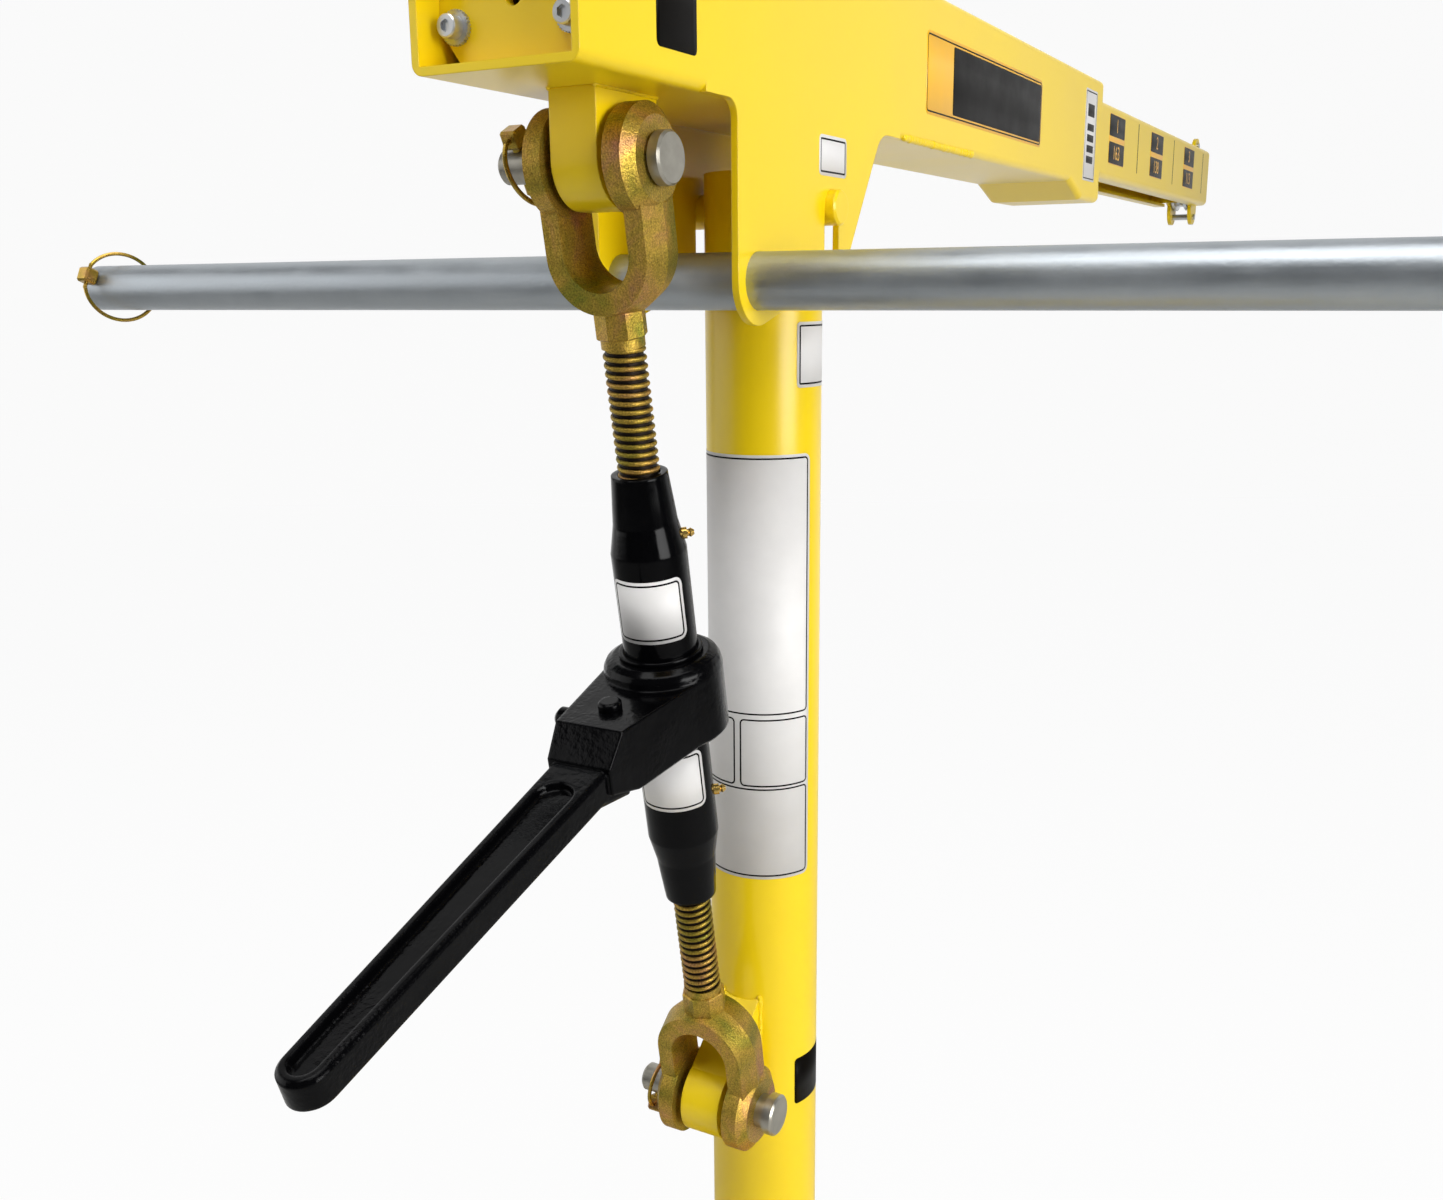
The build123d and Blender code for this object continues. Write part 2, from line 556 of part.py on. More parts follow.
def rear_screws():
    """Socket-head cap screws on serrated washers, heads to the rear."""
    washer = Pos(0, 0, 1.25) * Cylinder(9, 2.5)
    head = Pos(0, 0, 6.5) * Cylinder(6.5, 8)
    head = chamfer(head.edges().sort_by(Axis.Z)[-1], 0.8)
    head -= Pos(0, 0, 8.5) * extrude(RegularPolygon(3, 6, major_radius=False), amount=6)
    shank = Pos(0, 0, -6) * Cylinder(4, 12)
    screw = Rot(0, -90, 0) * (washer + head + shank)
    return [Pos(REAR_PLATE_X, y, z) * screw for y, z in rear_screw_places()]


PAD_REAR = 745.0
PAD_FRONT = 785.0


def shell_wear_pads():
    """Plastic pads in the shell's mouth: one under the extension and one at each side."""
    floor = SHELL_BOTTOM - DROP_DEPTH + SHELL_WALL
    length, mid = PAD_FRONT - PAD_REAR, (PAD_FRONT + PAD_REAR) / 2
    under_height = EXT_BOTTOM - SLIDE_GAP - floor
    pads = [Pos(mid, 0, floor + under_height / 2) * Box(length, 84, under_height)]
    thick = SHELL_HALF - SHELL_WALL - EXT_HALF - SLIDE_GAP
    for side in (-1, 1):
        place = Pos(mid, side * (EXT_HALF + SLIDE_GAP + thick / 2), (EXT_BOTTOM + EXT_TOP) / 2)
        pads.append(place * Box(length, thick, 60))
    return pads


def extension_wear_pads():
    """Pads on the extension's inner end that bear up on the shell's roof."""
    height = SHELL_TOP - SHELL_WALL - SLIDE_GAP - EXT_TOP
    return [Pos(EXT_REAR + 25, y, EXT_TOP + height / 2) * Box(44, 22, height) for y in (-24, 24)]


LOCK_R = 6.0
LOCK_AT = (700.0, BAR_HEIGHT + 172.0)
LOCK_BOSS = 14.0


def lock_boss():
    boss = y_rod(LOCK_BOSS, SHELL_HALF, SHELL_HALF + LOCK_BOSS, LOCK_AT)
    boss = chamfer(boss.edges().sort_by(Axis.Y)[-1], 2)
    return boss - y_rod(LOCK_R + RUN_GAP, 0, 2 * SHELL_HALF, LOCK_AT)


def lock_screw():
    """T-handled clamp screw that bears on the extension's side."""
    out = SHELL_HALF + LOCK_BOSS + 28
    screw = y_rod(LOCK_R, EXT_HALF + 0.6, out, LOCK_AT)
    tee = Pos(LOCK_AT[0], out - 6, LOCK_AT[1]) * Cylinder(4, 84)
    return screw + chamfer(tee.edges().filter_by(GeomType.CIRCLE), 1.5)


def boom_extension():
    inner = EXT_HALF - EXT_WALL
    outer = Rectangle(2 * EXT_HALF, EXT_TOP - EXT_BOTTOM)
    outer = fillet(outer.vertices(), 8)
    hollow = Rectangle(2 * inner, EXT_TOP - EXT_BOTTOM - 2 * EXT_WALL)
    hollow = fillet(hollow.vertices(), EXT_BEND_R)
    gap = Pos(0, -(EXT_TOP - EXT_BOTTOM) / 2) * Rectangle(2 * (inner - EXT_LIP), 4 * EXT_WALL)
    plane = Plane(origin=(EXT_REAR, 0, (EXT_TOP + EXT_BOTTOM) / 2), x_dir=(0, 1, 0), z_dir=(1, 0, 0))
    return extrude(plane * (outer - hollow - gap), amount=EXT_FRONT - EXT_REAR)


def tip_head():
    """Bulkhead and two lobed cheeks that carry the sheave beyond the extension."""
    sx, sz = SHEAVE
    back = EXT_FRONT - 32
    half = EXT_HALF - EXT_WALL
    low, high = EXT_BOTTOM + EXT_WALL, EXT_TOP - EXT_WALL
    bulkhead = Plane(origin=(back, 0, (low + high) / 2), x_dir=(0, 1, 0), z_dir=(1, 0, 0))
    head = extrude(bulkhead * fillet(Rectangle(2 * half, high - low).vertices(), EXT_BEND_R), amount=8)
    lobes = disc(CHEEK_LOBE_R, (sx, sz + CHEEK_LOBE_Z)) + disc(CHEEK_LOBE_R, (sx, sz - CHEEK_LOBE_Z))
    lobes += Pos(sx, sz) * Rectangle(2 * CHEEK_LOBE_R, 2 * CHEEK_LOBE_Z)
    web = closed([(back + 4, low + 3), (back + 4, high - 3), (EXT_FRONT - 12, high - 3), (sx, sz + CHEEK_LOBE_Z),
                  (sx, sz - CHEEK_LOBE_Z), (EXT_FRONT - 12, low + 3)])
    cheek = lobes + web - disc(AXLE_R, SHEAVE)
    for side in (-1, 1):
        cheek -= disc(5, (sx, sz + side * (CHEEK_LOBE_Z + 11)))
    head += y_plate(cheek, CHEEK_IN, CHEEK_OUT)
    return head + y_plate(cheek, -CHEEK_OUT, -CHEEK_IN)


def sheave_axle():
    axle = y_rod(AXLE_R, -CHEEK_OUT - 5, CHEEK_OUT + 5, SHEAVE)
    for side in (-1, 1):
        low, high = sorted((side * CHEEK_OUT, side * (CHEEK_OUT + 5)))
        axle += y_rod(12, low, high, SHEAVE)
    return axle


def rope_keepers():
    """Cross pins in the lobes that keep a rope in the sheave's groove."""
    sx, sz = SHEAVE
    return [y_rod(5, -CHEEK_OUT - 3, CHEEK_OUT + 3, (sx, sz + side * (CHEEK_LOBE_Z + 11))) for side in (-1, 1)]


def tip_sheave():
    w, groove = SHEAVE_HALF, 8.0
    section = closed([(AXLE_R + RUN_GAP, -w), (20, -w), (22, -w + 3), (SHEAVE_R - 12, -w + 3), (SHEAVE_R - 9, -w),
                      (SHEAVE_R, -w), (SHEAVE_R, w), (SHEAVE_R - 9, w), (SHEAVE_R - 12, w - 3), (22, w - 3),
                      (20, w), (AXLE_R + RUN_GAP, w)])
    section -= Pos(SHEAVE_R + 1, 0) * RegularPolygon(groove, 10)
    wheel = revolve(Plane.XZ * section, Axis.Z)
    return Pos(SHEAVE[0], 0, SHEAVE[1]) * Rot(90, 0, 0) * wheel


# Turning bar
def turning_bar():
    bar = y_rod(BAR_OD / 2, -BAR_HALF, BAR_HALF, (BAR_X, BAR_HEIGHT))
    bar -= y_rod(BAR_OD / 2 - BAR_WALL, -BAR_HALF, BAR_HALF, (BAR_X, BAR_HEIGHT))
    for frame in bar_lynch_frames():
        bar -= lynch_hole(frame)
    return bar


def bar_lynch_frames():
    reach = BAR_HALF - BAR_LYNCH_INSET
    return [lynch_frame((BAR_X, BAR_HEIGHT), side * reach, BAR_LYNCH_LEAN) for side in (-1, 1)]


# Winch
DRUM_AT = (WINCH_X, DRUM_Z)
MESH_DISTANCE = GEAR_MODULE * (DRUM_TEETH + PINION_TEETH) / 2
PINION_AT = polar(DRUM_AT, MESH_DISTANCE, MESH_ANGLE)
PAWL_AT = polar(DRUM_AT, 92.0, 140)
GEAR_Y = (31.0, 41.0)
DRUM_AXLE_R = 10.0
CRANK_R = 9.0
WINCH_BASE = (-310.0, -120.0)
GRIP_AT = polar(PINION_AT, CRANK_ARM, CRANK_ANGLE)


def gear_outline(teeth, phase):
    """Straight-flanked teeth; phase is the angle of one tooth's middle in degrees."""
    pitch_r = GEAR_MODULE * teeth / 2
    pitch = 360.0 / teeth
    flanks = ((pitch_r - 1.2 * GEAR_MODULE, -0.36), (pitch_r, -0.235), (pitch_r + 0.9 * GEAR_MODULE, -0.12),
              (pitch_r + 0.9 * GEAR_MODULE, 0.12), (pitch_r, 0.235), (pitch_r - 1.2 * GEAR_MODULE, 0.36))
    return closed([polar((0, 0), radius, phase + (k + share) * pitch) for k in range(teeth)
                   for radius, share in flanks])


def winch_frame():
    outer, inner = WINCH_HALF, WINCH_HALF - WINCH_WALL
    foot = Pos((WINCH_BASE[0] + WINCH_BASE[1]) / 2, SHELL_TOP + 10) * Rectangle(WINCH_BASE[1] - WINCH_BASE[0], 20)
    rounds = [disc(34, DRUM_AT), disc(24, PINION_AT), disc(18, PAWL_AT), foot]
    side = make_hull(ShapeList([e for r in rounds for e in r.edges()]))
    side = side - disc(DRUM_AXLE_R, DRUM_AT) - disc(CRANK_R + RUN_GAP, PINION_AT) - disc(5, PAWL_AT)
    frame = y_plate(side, inner, outer) + y_plate(side, -outer, -inner)
    base_mid = (WINCH_BASE[0] + WINCH_BASE[1]) / 2
    base = Pos(base_mid, 0, SHELL_TOP + WINCH_WALL / 2) * Box(WINCH_BASE[1] - WINCH_BASE[0], 2 * outer, WINCH_WALL)
    return frame + base


def winch_bolts():
    out = []
    for x in (WINCH_BASE[0] + 22, WINCH_BASE[1] - 22):
        for y in (-30, 30):
            head = extrude(RegularPolygon(8, 6, major_radius=False), amount=7)
            out.append(Pos(x, y, SHELL_TOP + WINCH_WALL) * head)
    return out


def drum_axle():
    axle = y_rod(DRUM_AXLE_R, -WINCH_HALF - 4, WINCH_HALF + 4, DRUM_AT)
    return chamfer(axle.edges().filter_by(GeomType.CIRCLE), 1)


def winch_drum():
    low, high = -44.0, GEAR_Y[0]
    drum = y_rod(DRUM_R, low, high, DRUM_AT)
    drum += y_rod(FLANGE_R, low, low + 5, DRUM_AT) + y_rod(FLANGE_R, high - 5, high, DRUM_AT)
    return drum - y_rod(DRUM_AXLE_R + RUN_GAP, low, high, DRUM_AT)


def drum_gear():
    gear = Pos(*DRUM_AT) * gear_outline(DRUM_TEETH, MESH_ANGLE)
    for k in range(6):
        gear -= disc(11, polar(DRUM_AT, 42, 60 * k))
    return y_plate(gear - disc(DRUM_AXLE_R + RUN_GAP, DRUM_AT), *GEAR_Y)


def crank_shaft():
    """Pinion and crank shaft, turned from one bar."""
    facing = MESH_ANGLE + 180 + 180.0 / PINION_TEETH
    pinion = y_plate(Pos(*PINION_AT) * gear_outline(PINION_TEETH, facing), GEAR_Y[0] - 1, GEAR_Y[1] + 1)
    return pinion + y_rod(CRANK_R, -CRANK_Y[0], WINCH_HALF + 6, PINION_AT)


CRANK_Y = (98.0, 88.0)
GRIP_Y = (-212.0, -100.0)


def crank_arm():
    arm = disc(18, PINION_AT) + disc(14, GRIP_AT) + bar_between(PINION_AT, GRIP_AT, 13)
    arm = y_plate(arm, -CRANK_Y[0], -CRANK_Y[1])
    return arm - y_rod(CRANK_R, -CRANK_Y[0], -CRANK_Y[1], PINION_AT)


def grip_pin():
    return y_rod(6, GRIP_Y[0] - 4, -CRANK_Y[0], GRIP_AT) + y_rod(10, GRIP_Y[0] - 4, GRIP_Y[0] - 0.4, GRIP_AT)


def crank_grip():
    length = GRIP_Y[1] - GRIP_Y[0]
    outline = [(13, 0), (15.5, 4), (17.5, 0.35 * length), (15.5, 0.75 * length), (14, length - 4), (12, length)]
    grip = revolve(Plane.XZ * closed(outline + [(6 + RUN_GAP, length), (6 + RUN_GAP, 0)]), Axis.Z)
    return xz(GRIP_AT[0], GRIP_Y[1], GRIP_AT[1]) * grip


def pawl_shape():
    tip = polar(DRUM_AT, 72.5, 118)
    heel = polar(PAWL_AT, 8, 45)
    body = disc(11, PAWL_AT) + closed([polar(PAWL_AT, 11, 85), tip, polar(DRUM_AT, 77, 124), polar(PAWL_AT, 11, -40)])
    return body + bar_between(PAWL_AT, heel, 4)


def winch_pawl():
    return y_plate(pawl_shape() - disc(5 + RUN_GAP, PAWL_AT), GEAR_Y[0] + 1, GEAR_Y[1] - 1)


def pawl_rod():
    return y_rod(5, -WINCH_HALF - 3, WINCH_HALF + 3, PAWL_AT)


def write(node, shape):
    """One STEP file for each node; a group of like pieces is a compound of solids."""
    if isinstance(shape, list):
        shape = Compound(children=[Part(s.wrapped) if not isinstance(s, Solid) else s for s in shape])
    export_step(shape, f"parts/{node}.step")


UPPER_LYNCH = lynch_frame(UPPER_PIN, PIN_FAR_END - UPPER_PIN_PLAY - LYNCH_SET_BACK, -28)
LOWER_LYNCH = lynch_frame(LOWER_PIN, PIN_FAR_END - LOWER_PIN_PLAY - LYNCH_SET_BACK, 198)


def main():
    os.makedirs("parts", exist_ok=True)
    flip = Pos(0, 0, BINDER_LENGTH) * Rot(0, 180, 0)
    right_lynch, left_lynch = bar_lynch_frames()
    pieces = {
        "base_plate": base_plate(),
        "base_socket": base_socket(),
        "base_gussets": base_gussets(),
        "socket_bushings": socket_bushings(),
        "thrust_disc": thrust_disc(),
        "mast_tube": mast_tube(),
        "boom_pivot_pin": pivot_pin(),
        "mast_lug": mast_lug(),
        "lower_clevis": BINDER * clevis_screw(),
        "lower_clevis_pin": clevis_pin(LOWER_PIN, LOWER_PIN_PLAY, LOWER_LYNCH),
        "lower_lynch_pin": lynch_pin(LOWER_LYNCH, CLEVIS_REACH, CLEVIS_LYNCH),
        "lower_lynch_ring": lynch_ring(LOWER_LYNCH, CLEVIS_REACH, CLEVIS_RING_R, LOWER_RING_LEAN),
        "thrust_washers": thrust_washers(),
        "binder_barrel": binder_barrel(),
        "ratchet_gear": ratchet_gear(),
        "grease_fittings": grease_fittings(),
        "ratchet_handle": ratchet_handle(),
        "ratchet_pawl": ratchet_pawl(),
        "ratchet_pawl_pin": pawl_pin(),
        "upper_clevis": BINDER * flip * clevis_screw(),
        "upper_clevis_pin": clevis_pin(UPPER_PIN, UPPER_PIN_PLAY, UPPER_LYNCH),
        "upper_lynch_pin": lynch_pin(UPPER_LYNCH, CLEVIS_REACH, CLEVIS_LYNCH),
        "upper_lynch_ring": lynch_ring(UPPER_LYNCH, CLEVIS_REACH, CLEVIS_RING_R, UPPER_RING_LEAN),
        "boom_shell": boom_shell(),
        "boom_lug": boom_lug(),
        "rear_plate": rear_plate(),
        "rear_plate_screws": rear_screws(),
        "shell_wear_pads": shell_wear_pads(),
        "extension_lock_boss": lock_boss(),
        "extension_lock_screw": lock_screw(),
        "boom_extension": boom_extension(),
        "extension_wear_pads": extension_wear_pads(),
        "tip_head": tip_head(),
        "sheave_axle": sheave_axle(),
        "rope_keepers": rope_keepers(),
        "tip_sheave": tip_sheave(),
        "turning_bar": turning_bar(),
        "bar_lynch_pins": [lynch_pin(frame, BAR_REACH, BAR_LYNCH) for frame in bar_lynch_frames()],
        "left_bar_ring": lynch_ring(left_lynch, BAR_REACH, BAR_RING_R, -BAR_RING_LEAN),
        "right_bar_ring": lynch_ring(right_lynch, BAR_REACH, BAR_RING_R, BAR_RING_LEAN),
        "winch_frame": winch_frame(),
        "winch_bolts": winch_bolts(),
        "drum_axle": drum_axle(),
        "winch_drum": winch_drum(),
        "drum_gear": drum_gear(),
        "crank_shaft": crank_shaft(),
        "crank_arm": crank_arm(),
        "crank_grip_pin": grip_pin(),
        "crank_grip": crank_grip(),
        "winch_pawl": winch_pawl(),
        "pawl_rod": pawl_rod(),
    }
    for node, shape in pieces.items():
        write(node, shape)
    print(len(pieces), "nodes written")


if __name__ == "__main__":
    main()
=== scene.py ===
# %% [markdown]
# # A davit crane
# The frame is the imported CAD model: every solid is at its real size and place, in metres, with +Z up the mast
# and +X along the boom. This lesson adds what solids leave out: finishes, screw threads, weld beads, label
# plates and the studio. We start by loading the frame.

# %% Load the frame
import json
import math

import bmesh
import bpy
from mathutils import Matrix, Vector


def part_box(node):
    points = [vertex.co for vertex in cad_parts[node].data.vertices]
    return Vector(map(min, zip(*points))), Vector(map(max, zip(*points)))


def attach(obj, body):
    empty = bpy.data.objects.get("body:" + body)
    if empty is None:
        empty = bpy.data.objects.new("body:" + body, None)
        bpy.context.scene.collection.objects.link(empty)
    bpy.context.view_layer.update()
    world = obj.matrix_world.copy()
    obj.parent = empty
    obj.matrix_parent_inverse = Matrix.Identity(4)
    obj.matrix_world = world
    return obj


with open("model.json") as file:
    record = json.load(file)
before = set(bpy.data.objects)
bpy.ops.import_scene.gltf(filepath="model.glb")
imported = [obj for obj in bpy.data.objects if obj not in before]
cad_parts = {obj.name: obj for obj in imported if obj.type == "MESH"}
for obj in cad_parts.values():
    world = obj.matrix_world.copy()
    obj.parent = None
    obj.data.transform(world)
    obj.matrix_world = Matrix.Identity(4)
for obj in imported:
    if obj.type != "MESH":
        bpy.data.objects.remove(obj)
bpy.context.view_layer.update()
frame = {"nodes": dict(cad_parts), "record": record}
MM = 0.001

# %% [markdown]
# ## The camera
# A camera fitted to the photograph's straight edges gives its heading, its dip below the horizon and a slight
# roll. Blender's camera looks along its own -Z, so its axes are built from those three angles by cross
# products, which is easier to check than Euler angles.

# %% Camera
FRAME_WIDTH_PX, LENS_PX, SENSOR_MM = 1443, 1357.0, 36.0
HEADING, DIP, ROLL = (math.radians(a) for a in (28.69, 12.97, 0.48))
BAR_Z = sum(c.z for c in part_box("turning_bar")) / 2
CAMERA_AT = Vector((-0.9398, -0.4759, BAR_Z - 0.0039))

ahead = Vector((math.cos(HEADING) * math.cos(DIP), math.sin(HEADING) * math.cos(DIP), -math.sin(DIP)))
level_right = Vector((math.sin(HEADING), -math.cos(HEADING), 0))
level_down = ahead.cross(level_right)
right = math.cos(ROLL) * level_right + math.sin(ROLL) * level_down
down = math.cos(ROLL) * level_down - math.sin(ROLL) * level_right

camera = bpy.data.objects.new("camera", bpy.data.cameras.new("camera"))
camera.data.sensor_fit = "HORIZONTAL"
camera.data.sensor_width = SENSOR_MM
camera.data.lens = SENSOR_MM * LENS_PX / FRAME_WIDTH_PX
camera.data.clip_start = 0.01
turn = Matrix((right, -down, -ahead)).transposed()
camera.matrix_world = Matrix.Translation(CAMERA_AT) @ turn.to_4x4()
bpy.context.collection.objects.link(camera)
bpy.context.scene.camera = camera
print("lens", round(camera.data.lens, 2), "mm at", [round(v, 3) for v in CAMERA_AT])

# %% [markdown]
# ## A node helper and colours
# Each finish is a small node tree. One helper adds a node and sets its options, and another fills its inputs with
# values or links. Colours are written as sRGB hex, as a paint chart gives them, and turned to the linear values
# that Blender shades with.


# %% Node helper
def hex_colour(text):
    """sRGB hex to the linear RGBA that shader sockets take."""
    parts = [int(text[k:k + 2], 16) / 255 for k in (1, 3, 5)]
    linear = [p / 12.92 if p <= 0.04045 else ((p + 0.055) / 1.055) ** 2.4 for p in parts]
    return (*linear, 1.0)


def fill(tree, node, inputs):
    """Fills a node's inputs, each with a plain value or with another node's output."""
    for name, value in inputs.items():
        if isinstance(value, bpy.types.NodeSocket):
            tree.links.new(value, node.inputs[name])
        else:
            node.inputs[name].default_value = value


def add(tree, kind, inputs=None, **options):
    """Adds a node to a shader or geometry tree, with its options and its inputs."""
    made = tree.nodes.new(kind)
    for name, value in options.items():
        setattr(made, name, value)
    fill(tree, made, inputs or {})
    return made


def new_finish(name):
    """A new material, its tree, its Principled shader and its Object coordinates."""
    made = bpy.data.materials.new(name)
    made.use_nodes = True
    tree = made.node_tree
    shader = tree.nodes["Principled BSDF"]
    place = add(tree, "ShaderNodeTexCoord").outputs["Object"]
    return made, tree, shader, place


def per_mm(size):
    """Texture scale whose pattern repeats about every so many millimetres on the object."""
    return 1.0 / (size * MM)


# %% [markdown]
# ## The binder's own axes
# Threads, grease and labels sit along the slanted binder, so one matrix turns "millimetres up the binder" into
# the crane's frame. Its ends are the two clevis pins.


# %% Binder axes
def node_centre(node):
    """The middle of a CAD node's box, in metres."""
    low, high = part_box(node)
    return (low + high) / 2


LOWER_PIN, UPPER_PIN = node_centre("lower_clevis_pin"), node_centre("upper_clevis_pin")
LOWER_PIN.y = UPPER_PIN.y = 0.0
up = (UPPER_PIN - LOWER_PIN).normalized()
side = Vector((0, 1, 0))
BINDER = Matrix.Translation(LOWER_PIN) @ Matrix((side.cross(up), side, up)).transposed().to_4x4()
BINDER_MM = (UPPER_PIN - LOWER_PIN).length / MM
print("binder", round(BINDER_MM, 1), "mm between pins")

# %% [markdown]
# ## Safety yellow enamel
# The mast, boom and lugs are sprayed steel. Sprayed enamel dries with a faint orange-peel ripple of a couple of
# millimetres and a soft gloss. Slow colour drift of a hand's width keeps large panels from looking like plastic.
# Paint also draws back round sharp corners, so a Bevel node softens the light on them by about a millimetre.


# %% Yellow enamel
def yellow_enamel():
    made, tree, shader, place = new_finish("safety_yellow_enamel")
    drift = add(tree, "ShaderNodeTexNoise", {"Vector": place, "Scale": per_mm(140), "Detail": 3.0})
    tint = add(tree, "ShaderNodeMix", {
        0: drift.outputs["Fac"], 6: hex_colour("#E9C606"), 7: hex_colour("#F2D20C")}, data_type="RGBA")
    corner = add(tree, "ShaderNodeBevel", {"Radius": 1.2 * MM}, samples=4)
    peel = add(tree, "ShaderNodeTexNoise", {"Vector": place, "Scale": per_mm(2.6), "Detail": 1.0})
    ripple = add(tree, "ShaderNodeBump", {
        "Height": peel.outputs["Fac"], "Strength": 0.10, "Distance": 0.3 * MM, "Normal": corner.outputs["Normal"]})
    sheen = add(tree, "ShaderNodeMapRange", {"Value": drift.outputs["Fac"], 3: 0.24, 4: 0.36})
    fill(tree, shader, {"Base Color": tint.outputs[2], "Normal": ripple.outputs["Normal"],
                        "Roughness": sheen.outputs["Result"], "IOR": 1.5})
    return made


YELLOW = yellow_enamel()
print(YELLOW.name)

# %% [markdown]
# ## Gloss black enamel over castings
# The binder's barrel and lever are rough castings under thick gloss paint. The paint fills the grain but not the
# lumps, so highlights break into bright flecks. Three noises make the relief: lumps of a finger's width, pits of
# a few millimetres, and slow patches that say where the pits are. Seen square on, this paint is nearly pure black,
# so its specular level is low, and only slanting faces pick up the pale backdrop.


# %% Black enamel
def black_enamel(name, lumps, pits):
    made, tree, shader, place = new_finish(name)
    corner = add(tree, "ShaderNodeBevel", {"Radius": 2.5 * MM}, samples=8)
    lump = add(tree, "ShaderNodeTexNoise", {"Vector": place, "Scale": per_mm(11), "Detail": 2.0})
    pit = add(tree, "ShaderNodeTexNoise", {"Vector": place, "Scale": per_mm(3.2), "Detail": 3.0})
    broad = add(tree, "ShaderNodeBump", {
        "Height": lump.outputs["Fac"], "Strength": lumps, "Distance": 1.2 * MM,
        "Normal": corner.outputs["Normal"]})
    patch = add(tree, "ShaderNodeTexNoise", {"Vector": place, "Scale": per_mm(50), "Detail": 1.0})
    coarse = add(tree, "ShaderNodeMapRange", {"Value": patch.outputs["Fac"], 1: 0.42, 2: 0.60})
    fleck = add(tree, "ShaderNodeMath", {
        0: pit.outputs["Fac"], 1: coarse.outputs["Result"]}, operation="MULTIPLY")
    fine = add(tree, "ShaderNodeBump", {
        "Height": fleck.outputs[0], "Strength": pits, "Distance": 0.9 * MM, "Normal": broad.outputs["Normal"]})
    tint = add(tree, "ShaderNodeMix", {
        0: pit.outputs["Fac"], 6: hex_colour("#020203"), 7: hex_colour("#060607")}, data_type="RGBA")
    gloss = add(tree, "ShaderNodeMapRange", {"Value": lump.outputs["Fac"], 3: 0.08, 4: 0.18})
    fill(tree, shader, {"Base Color": tint.outputs[2], "Normal": fine.outputs["Normal"],
                        "Roughness": gloss.outputs["Result"], "Specular IOR Level": 0.10})
    return made


BLACK_CAST = black_enamel("gloss_black_enamel_on_casting", 0.20, 0.45)
BLACK_SMOOTH = black_enamel("gloss_black_enamel_on_tube", 0.08, 0.10)
print(BLACK_CAST.name, BLACK_SMOOTH.name)

# %% [markdown]
# ## Yellow zinc chromate
# Forgings and lynch pins are zinc plated and dipped in yellow chromate. The film is thin, so it shifts between
# olive gold, straw, rose and green in soft patches, which come from a slow noise and a colour ramp. The forgings
# keep the sandy skin of the die under it, so a fine noise darkens and lightens single grains of about a
# millimetre. The film is not bare metal, so the shader is only partly metallic. On the screws a dark brown is
# painted at the bottom of the thread as painted shade, found by the distance from the binder's axis.

# %% Painted groove shade
CREST_R, GROOVE_R, THREAD_FROM = 14.25, 12.3, 113.0


def thread_grease(tree, place, unshaded):
    """A colour with painted shade in the thread's grooves and the finish's own colour elsewhere."""
    half = BINDER_MM / 2
    along = add(tree, "ShaderNodeVectorMath", {0: place, 1: LOWER_PIN}, operation="SUBTRACT").outputs["Vector"]
    height = add(tree, "ShaderNodeVectorMath", {0: along, 1: up}, operation="DOT_PRODUCT").outputs["Value"]
    out = add(tree, "ShaderNodeVectorMath", {0: along, 1: up}, operation="CROSS_PRODUCT").outputs["Vector"]
    radius = add(tree, "ShaderNodeVectorMath", {0: out}, operation="LENGTH").outputs["Value"]
    groove = add(tree, "ShaderNodeMapRange", {"Value": radius, 1: GROOVE_R * MM, 2: CREST_R * MM, 3: 1.0, 4: 0.0})
    screw = add(tree, "ShaderNodeMath", {
        0: height, 1: half * MM, 2: (half - THREAD_FROM) * MM}, operation="COMPARE")
    share = add(tree, "ShaderNodeMath", {0: groove.outputs["Result"], 1: screw.outputs[0]}, operation="MULTIPLY")
    # Painted shade: a dark brown at the bottom of the thread grooves.
    dark = {0: share.outputs[0], 6: unshaded, 7: hex_colour("#1E150C")}
    return add(tree, "ShaderNodeMix", dark, data_type="RGBA").outputs[2]


# %% Chromate
def yellow_chromate(name, grain_mm, contrast, relief, rough, groove_shaded=False):
    made, tree, shader, place = new_finish(name)
    patch = add(tree, "ShaderNodeTexNoise", {
        "Vector": place, "Scale": per_mm(34), "Detail": 4.0, "Distortion": 0.8})
    hue = add(tree, "ShaderNodeValToRGB", {"Fac": patch.outputs["Fac"]})
    stops = hue.color_ramp.elements
    for end, (where, colour) in zip(stops, ((0.30, "#7D7A26"), (0.72, "#A8765A"))):
        end.position, end.color = where, hex_colour(colour)
    for where, colour in ((0.42, "#9A842E"), (0.52, "#B0903A"), (0.61, "#B08746")):
        stops.new(where).color = hex_colour(colour)
    grain = add(tree, "ShaderNodeTexNoise", {"Vector": place, "Scale": per_mm(grain_mm), "Detail": 3.0})
    grit = add(tree, "ShaderNodeMapRange", {
        "Value": grain.outputs["Fac"], 1: 0.32, 2: 0.68, 3: 1.0 - contrast, 4: 1.0 + contrast})
    speckled = add(tree, "ShaderNodeHueSaturation", {
        "Color": hue.outputs["Color"], "Value": grit.outputs["Result"]})
    bump = add(tree, "ShaderNodeBump", {"Height": grain.outputs["Fac"], "Strength": relief, "Distance": 0.6 * MM})
    gloss = add(tree, "ShaderNodeMapRange", {"Value": grain.outputs["Fac"], 3: rough + 0.10, 4: rough - 0.08})
    tint = speckled.outputs["Color"]
    fill(tree, shader, {"Base Color": thread_grease(tree, place, tint) if groove_shaded else tint,
                        "Normal": bump.outputs["Normal"], "Roughness": gloss.outputs["Result"], "Metallic": 0.8})
    return made


# The forged screws carry painted shade in their thread grooves.
CHROMATE_FORGED = yellow_chromate("yellow_chromate_on_forging", 1.1, 0.42, 0.6, 0.42, groove_shaded=True)
CHROMATE_SMOOTH = yellow_chromate("yellow_chromate_on_wire", 5.0, 0.10, 0.06, 0.28)
print(CHROMATE_FORGED.name, CHROMATE_SMOOTH.name)

